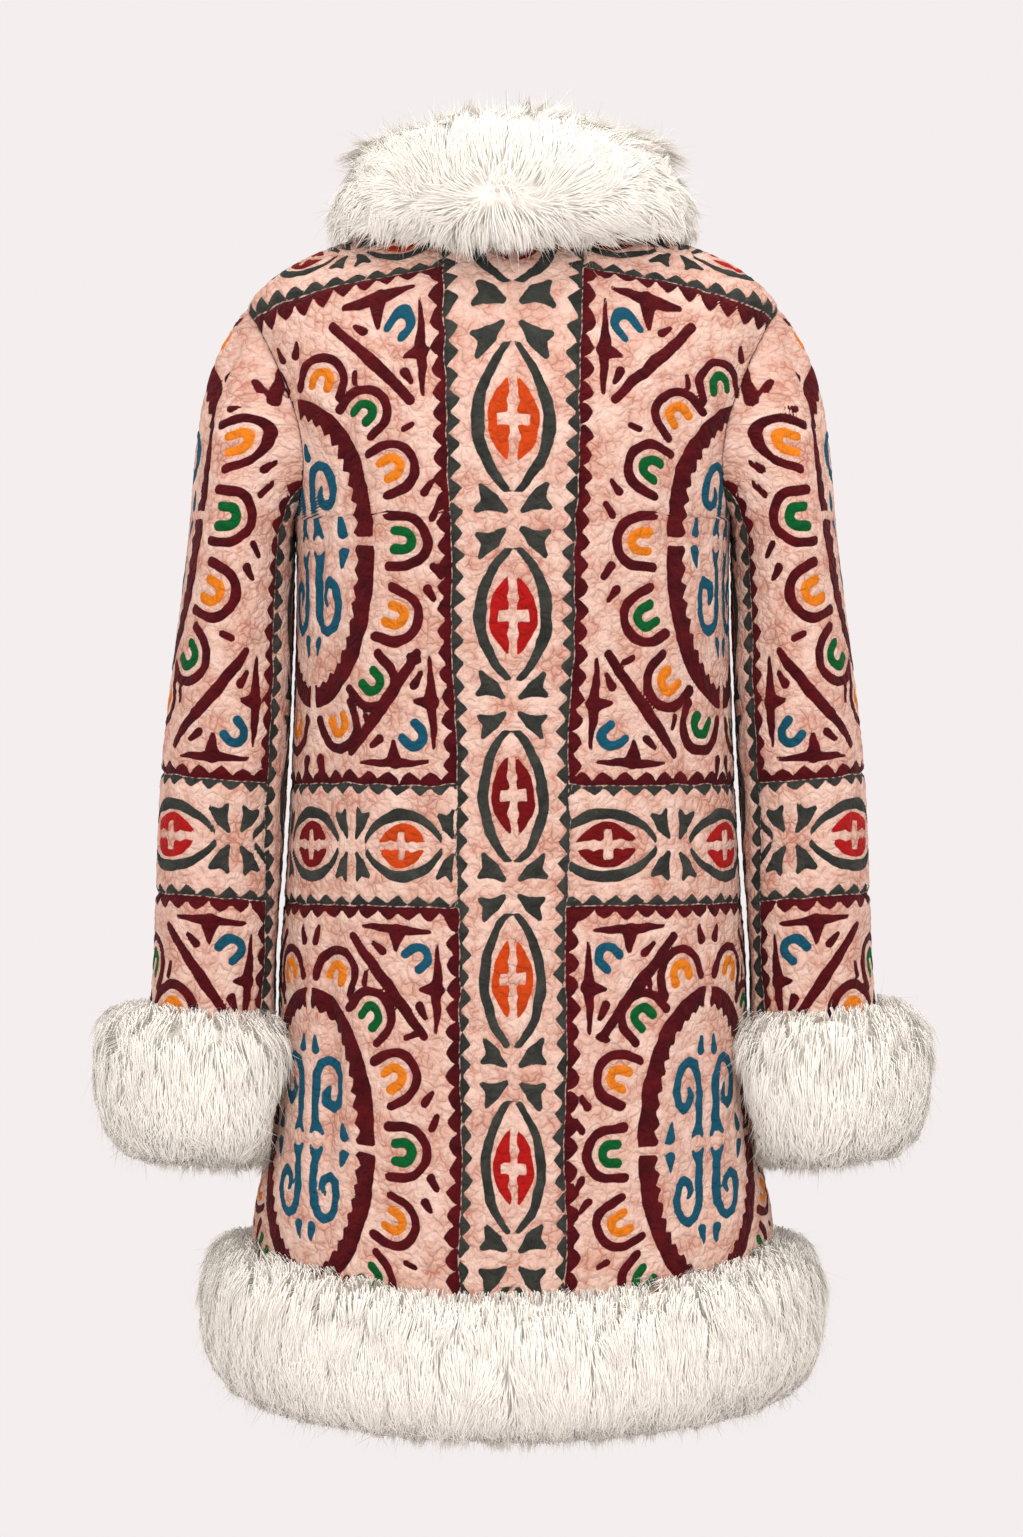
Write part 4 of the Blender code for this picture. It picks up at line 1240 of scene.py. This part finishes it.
def cuff_surface(turn, share, inset):
    """Point on the left cuff's fur form, squeezed where it hangs against the body."""
    reach = section_read(CUFF_FUR, "reach_mm", share) * MM
    fall = CUFF_HEART + (section_read(CUFF_FUR, "fall_mm", share) - CUFF_HEART) * (1 - inset)
    turned = turn % (2 * math.pi)
    from_inner = np.minimum(turned, 2 * math.pi - turned)
    squeeze_to = np.where(turned < math.pi, CUFF_SQUEEZE_TO_BACK, CUFF_SQUEEZE_TO_FRONT)
    free = smooth_step(from_inner, CUFF_SQUEEZE_FROM, squeeze_to)
    fullness = CUFF_INNER_REACH + (1 - CUFF_INNER_REACH) * free
    reach = np.maximum(reach * CUFF_TRIM, LEAST_REACH) * fullness * (1 - inset)
    return sleeve_tube(turn, CUFF_TOP_DROP + fall, reach)


def collar_surface(angle, share, inset):
    """Point on the collar's fur form; share runs from its edge on the shoulders, over the roll, inside."""
    seam = body_point(angle, NECK_LEVEL)
    aside = unit(body_normal(angle, NECK_LEVEL) * (1, 1, 0))
    size = 1 - COLLAR_FRONT_TAPER * np.clip(-np.sin(angle), 0, 1) ** 6
    moved = {}
    for way, heart in COLLAR_HEART.items():
        at = {place: section_read(COLLAR_FUR, f"{way}_{place}", share) for place in ("side", "back", "front")}
        moved[way] = (heart + (blend_round(at, angle) * MM - heart) * (1 - inset)) * size
    point = seam + aside * moved["out"][..., None]
    point[..., 2] = seam[..., 2] + moved["up"]
    return point


def surface_frame(surface, a, b, inset, step=0.01):
    """Points on a form, with their outward direction from the slopes round and along its section."""
    around = surface(a + step, b, inset) - surface(a - step, b, inset)
    down = surface(a, np.minimum(b + step, 1), inset) - surface(a, np.maximum(b - step, 0), inset)
    return surface(a, b, inset), unit(np.cross(around, down))


def hair_mesh(name, roots, middles, ends, outwards, widths, twists, shades):
    """Bent flat hairs that lie on the pile: two points at the root, two at the middle, and a tip.

    They take the light as the pile's soft face does, by its outward directions.
    """
    count = len(roots)
    side = unit(np.cross(ends - roots, outwards))
    side = side * np.cos(twists)[:, None] + outwards * np.sin(twists)[:, None]
    half = side * (widths * 0.5)[:, None]
    points = np.stack([roots + half, roots - half, middles - half, middles + half, ends], axis=1)
    first = np.arange(count)[:, None] * 5
    mesh = new_mesh(name, points.reshape(-1, 3), [first + (0, 3, 2, 1), first + (3, 4, 2)])
    store(mesh, "along_hair", np.tile([0.0, 0.0, 0.5, 0.5, 1.0], count))
    store(mesh, "hair_shade", np.repeat(shades, 5))
    mesh.normals_split_custom_set_from_vertices(np.repeat(unit(outwards), 5, axis=0).tolist())
    return mesh


def add_form(name, node, surface, a_values, closed_round, turned):
    """Closed base form under the hair, as a grid round and along the section."""
    a, b = np.meshgrid(a_values, np.linspace(0, 1, 25), indexing="ij")
    points = surface(a, b, FORM_INSET)
    rows, cols = points.shape[:2]
    number = np.arange(rows * cols).reshape(rows, cols)
    following = np.roll(number, -1, axis=0) if closed_round else number[1:]
    current = number if closed_round else number[:-1]
    blocks = [quads(current, following, np.roll(following, -1, axis=1), np.roll(current, -1, axis=1))]
    if not closed_round:
        blocks.append(np.stack([number[0], number[-1, ::-1]]))
    mesh = new_mesh(name, points.reshape(-1, 3), [block[:, ::-1] if turned else block for block in blocks])
    for label in ("along_hair", "hair_shade"):
        store(mesh, label, np.full(rows * cols, 0.5))
    add_fur(name, node, mesh)


def comb(kind, share, point, normal):
    """The way the pile is brushed at each root.

    It falls over hem and cuffs, with a short ruff above. On the collar's back it spreads from a crown in the
    middle, and on its front and inside it falls.
    """
    down = np.zeros_like(normal)
    down[..., 2] = -1.0
    aside = unit(normal * (1, 1, 0))
    if kind == "collar":
        from_crown = point - COLLAR_CROWN
        crown_line = np.clip(from_crown[..., 0], -COLLAR_CROWN_HALF, COLLAR_CROWN_HALF)
        from_crown[..., 0] -= crown_line * 0.8
        from_crown[..., 2] += 0.2 * np.abs(crown_line)
        spread = unit(from_crown * (0.75, 0.0, 1.5)) + 0.35 * aside
        spread = spread + down * (1 - smooth_step(share, 0.08, 0.34))[..., None]
        at_back = smooth_step(point[..., 1], -0.05, 0.03)[..., None]
        way = unit(spread) * at_back + (down + 0.5 * aside) * (1 - at_back)
        inside = smooth_step(share, 0.66, 0.9)[..., None]
        return unit(way * (1 - inside) - down * inside)
    fallen = smooth_step(share, 0.03, 0.20)[..., None]
    return unit((down + 0.25 * aside) * fallen + (aside - 0.7 * down) * (1 - fallen))


def grow(name, node, surface, kind, a_range, cell, hairs, seed, turned=False, mirrored=False):
    """Hair of one fur piece, rooted on its form.

    Each hair rises from the form to nearly the fur's full reach, then lies the way the pile is brushed and
    follows the form's roundness. Hairs gather into locks: their ends are drawn part of the way to the nearest
    lock's.
    cell is the size of the form in metres for one unit round it and along its section.
    """
    random = np.random.default_rng(seed)
    fur, pile = bpy.context.scene.coat_fur, PILE[kind]

    def scatter(count, low, high, stray):
        a, b = random.uniform(*a_range, count), random.uniform(0.0, 1.0, count)
        point, normal = surface_frame(surface, a, b, PILE_INSET)
        normal = -normal if turned else normal
        room = np.linalg.norm(surface(a, b, 0.0) - point, axis=-1)
        brushed = unit(comb(kind, b, point, normal) + random.normal(0, stray, (count, 3)))
        along = brushed - normal * (brushed * normal).sum(-1, keepdims=True)
        reach = fur.length * np.clip(room / FULL_ROOM, 0.3, 1.0) * random.uniform(0.75, 1.1, count)
        reach = reach * (1 - pile["shorter"] * smooth_step(b, 0.5, 0.8))
        sunk = reach**2 / PILE_ROUNDNESS * pile["sinks"]
        height = room * random.uniform(low, high, count) - sunk
        end = point + along * reach[:, None] + normal * height[:, None]
        return np.stack([a, b], axis=-1) * cell, point, normal, along * reach[:, None], end, sunk, room

    place, point, normal, fall, own_end, sunk, room = scatter(hairs, *HAIR_HEIGHTS, HAIR_STRAY)
    lock_count = hairs // HAIRS_A_LOCK
    lock_place, *_, lock_end, _, _ = scatter(lock_count, 0.8, pile["lock_high"], pile["lock_stray"])
    lock = nearest_lock(place, lock_place)
    pull = random.uniform(*LOCK_PULL, hairs)[:, None]
    end = own_end * (1 - pull) + lock_end[lock] * pull
    middle = point + fall * 0.42 + normal * (0.92 * room - 0.18 * sunk)[:, None] + 0.30 * (end - own_end)
    middle = middle + random.normal(0, 0.0005, (hairs, 3))
    astray = (random.uniform(0, 1, hairs) < ASTRAY_SHARE)[:, None]
    end = end + astray * (normal * 0.007 + random.normal(0, 0.006, (hairs, 3)))
    widths = fur.width * random.uniform(0.6, 1.2, hairs) * np.clip(room / FULL_ROOM, 0.5, 1.0)
    widths = widths * (1 - 0.5 * astray[:, 0])
    twists = random.normal(0, 0.26, hairs)
    lock_shade = random.uniform(0, 1, lock_count)[lock]
    shades = np.clip(0.65 * lock_shade + 0.35 * random.uniform(0, 1, hairs), 0, 1)
    flip = MIRROR if mirrored else np.ones(3)
    mesh = hair_mesh(name, point * flip, middle * flip, end * flip, normal * flip, widths, twists, shades)
    add_fur(name, node, mesh)


def nearest_lock(place, lock_place):
    """Number of the lock nearest to each hair, found for a block of hairs at a time."""
    nearest = [((block[:, None] - lock_place[None]) ** 2).sum(-1).argmin(axis=1)
               for block in np.array_split(place, max(1, len(place) // 1500))]
    return np.concatenate(nearest)


def add_fur(name, node, mesh):
    link_piece(name, node, mesh, get_material("cream_fur_look", fur_material))


# Operators


class COAT_OT_body(bpy.types.Operator):
    """Builds the back and both fronts of the coat"""

    bl_idname = "coat.build_body"
    bl_label = "Body"

    def execute(self, context):
        settings = context.scene.coat_quilt
        material = get_material("quilted_cotton_look", quilt_material)
        body_panel("back", "back", settings, material)
        body_panel("front_left", "left", settings, material)
        body_panel("front_right", "right", settings, material)
        return {"FINISHED"}


class COAT_OT_sleeves(bpy.types.Operator):
    """Builds both sleeves"""

    bl_idname = "coat.build_sleeves"
    bl_label = "Sleeves"

    def execute(self, context):
        settings = context.scene.coat_quilt
        material = get_material("quilted_cotton_look", quilt_material)
        sleeve_piece("sleeve_left", False, settings, material)
        sleeve_piece("sleeve_right", True, settings, material)
        return {"FINISHED"}


class COAT_OT_collar(bpy.types.Operator):
    """Builds the fur collar"""

    bl_idname = "coat.build_collar"
    bl_label = "Collar"

    def execute(self, context):
        fur = context.scene.coat_fur
        end = float(angle_at_x(FRONT_OPENING / 2, NECK_LEVEL))
        stretch = (-end, math.pi + end)
        add_form("collar_form", "collar_fur", collar_surface, np.linspace(*stretch, 97), False, False)
        grow("collar_pile", "collar_fur", collar_surface, "collar", stretch, (0.11, 0.16), fur.hairs,
             fur.seed)
        return {"FINISHED"}


class COAT_OT_cuffs(bpy.types.Operator):
    """Builds both fur cuffs"""

    bl_idname = "coat.build_cuffs"
    bl_label = "Cuffs"

    def execute(self, context):
        fur = context.scene.coat_fur
        turns = np.linspace(0, 2 * math.pi, 64, endpoint=False)
        for side, mirrored in (("left", False), ("right", True)):

            def surface(turn, share, inset, flip=MIRROR if mirrored else np.ones(3)):
                return cuff_surface(turn, share, inset) * flip

            node = "cuff_fur_" + side
            add_form("cuff_form_" + side, node, surface, turns, True, mirrored)
            grow("cuff_pile_" + side, node, cuff_surface, "cuff", (0, 2 * math.pi), (0.05, 0.15),
                 fur.hairs // 2, fur.seed + 3 + mirrored, mirrored=mirrored)
        return {"FINISHED"}


class COAT_OT_hem(bpy.types.Operator):
    """Builds the fur hem band"""

    bl_idname = "coat.build_hem"
    bl_label = "Hem"

    def execute(self, context):
        fur = context.scene.coat_fur
        end = float(angle_at_x(FRONT_OPENING / 2, 0.0))
        add_form("hem_form", "hem_fur", hem_surface, np.linspace(-end, math.pi + end, 145), False, True)
        parts = (("left", -end, 0.0, 0.40), ("back", 0.0, math.pi, 0.88),
                 ("right", math.pi, math.pi + end, 0.40))
        for number, (part, start, stop, share) in enumerate(parts):
            grow("hem_pile_" + part, "hem_fur", hem_surface, "hem", (start, stop), (0.18, 0.16),
                 int(fur.hairs * share), fur.seed + 10 + number, turned=True)
        return {"FINISHED"}


class COAT_OT_stage(bpy.types.Operator):
    """Builds the pale studio, its soft lights and the camera"""

    bl_idname = "coat.build_stage"
    bl_label = "Stage"

    def execute(self, context):
        settings = context.scene.coat_studio
        scene = context.scene
        turn = np.linspace(0, 2 * math.pi, FLOOR_CORNERS, endpoint=False)
        rim = np.stack([np.cos(turn) * FLOOR_RADIUS, np.sin(turn) * FLOOR_RADIUS,
                        np.full(FLOOR_CORNERS, FLOOR_LEVEL)], axis=-1)
        mesh = new_mesh("floor", rim, [np.arange(FLOOR_CORNERS)[None]])
        floor = bpy.data.objects.new("floor", mesh)
        scene.collection.objects.link(floor)
        paper = new_material("floor_paper", Base_Color=(0.70, 0.665, 0.665, 1), Roughness=0.95)[0]
        mesh.materials.append(paper)
        scene.world = bpy.data.worlds.new("studio_air")
        scene.world.use_nodes = True
        air = scene.world.node_tree.nodes["Background"].inputs
        air["Color"].default_value = (1.0, 0.945, 0.945, 1)
        air["Strength"].default_value = 0.656 * settings.light
        for name, at, size, power in LAMPS:
            lamp = bpy.data.lights.new(name, "AREA")
            lamp.size = size
            lamp.energy = power * settings.light
            thing = bpy.data.objects.new(name, lamp)
            thing.location = at
            thing.rotation_euler = (Vector(LAMPS_AIM) - Vector(at)).to_track_quat("-Z", "Y").to_euler()
            scene.collection.objects.link(thing)
        camera = bpy.data.objects.new("camera", bpy.data.cameras.new("camera"))
        scene.collection.objects.link(camera)
        camera.data.lens = settings.lens
        camera.data.sensor_width = 36.0
        camera.location = settings.camera_at
        camera.rotation_euler = (math.pi / 2, 0, math.pi)
        scene.camera = camera
        scene.view_settings.view_transform = "Standard"
        return {"FINISHED"}


class COAT_PT_panel(bpy.types.Panel):
    """Coat tools in the sidebar"""

    bl_label = "Quilted coat"
    bl_idname = "COAT_PT_panel"
    bl_space_type = "VIEW_3D"
    bl_region_type = "UI"
    bl_category = "Coat"

    def draw(self, context):
        layout = self.layout
        for name in ("quilt", "fur", "studio"):
            group = getattr(context.scene, "coat_" + name)
            box = layout.box()
            box.label(text=name.capitalize())
            for prop in group.bl_rna.properties:
                if not prop.is_readonly and prop.identifier not in ("name", "rna_type"):
                    box.prop(group, prop.identifier)
        for operator in OPERATORS:
            layout.operator(operator.bl_idname)


OPERATORS = (COAT_OT_body, COAT_OT_sleeves, COAT_OT_collar, COAT_OT_cuffs, COAT_OT_hem, COAT_OT_stage)
CLASSES = (QuiltSettings, FurSettings, StudioSettings, *OPERATORS, COAT_PT_panel)


def register():
    for cls in CLASSES:
        bpy.utils.register_class(cls)
    bpy.types.Scene.coat_quilt = PointerProperty(type=QuiltSettings)
    bpy.types.Scene.coat_fur = PointerProperty(type=FurSettings)
    bpy.types.Scene.coat_studio = PointerProperty(type=StudioSettings)


def unregister():
    del bpy.types.Scene.coat_quilt
    del bpy.types.Scene.coat_fur
    del bpy.types.Scene.coat_studio
    for cls in reversed(CLASSES):
        bpy.utils.unregister_class(cls)


def main():
    register()
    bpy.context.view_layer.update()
    bpy.ops.coat.build_body()
    bpy.ops.coat.build_sleeves()
    bpy.ops.coat.build_collar()
    bpy.ops.coat.build_cuffs()
    bpy.ops.coat.build_hem()
    bpy.ops.coat.build_stage()


if __name__ == "__main__":
    main()
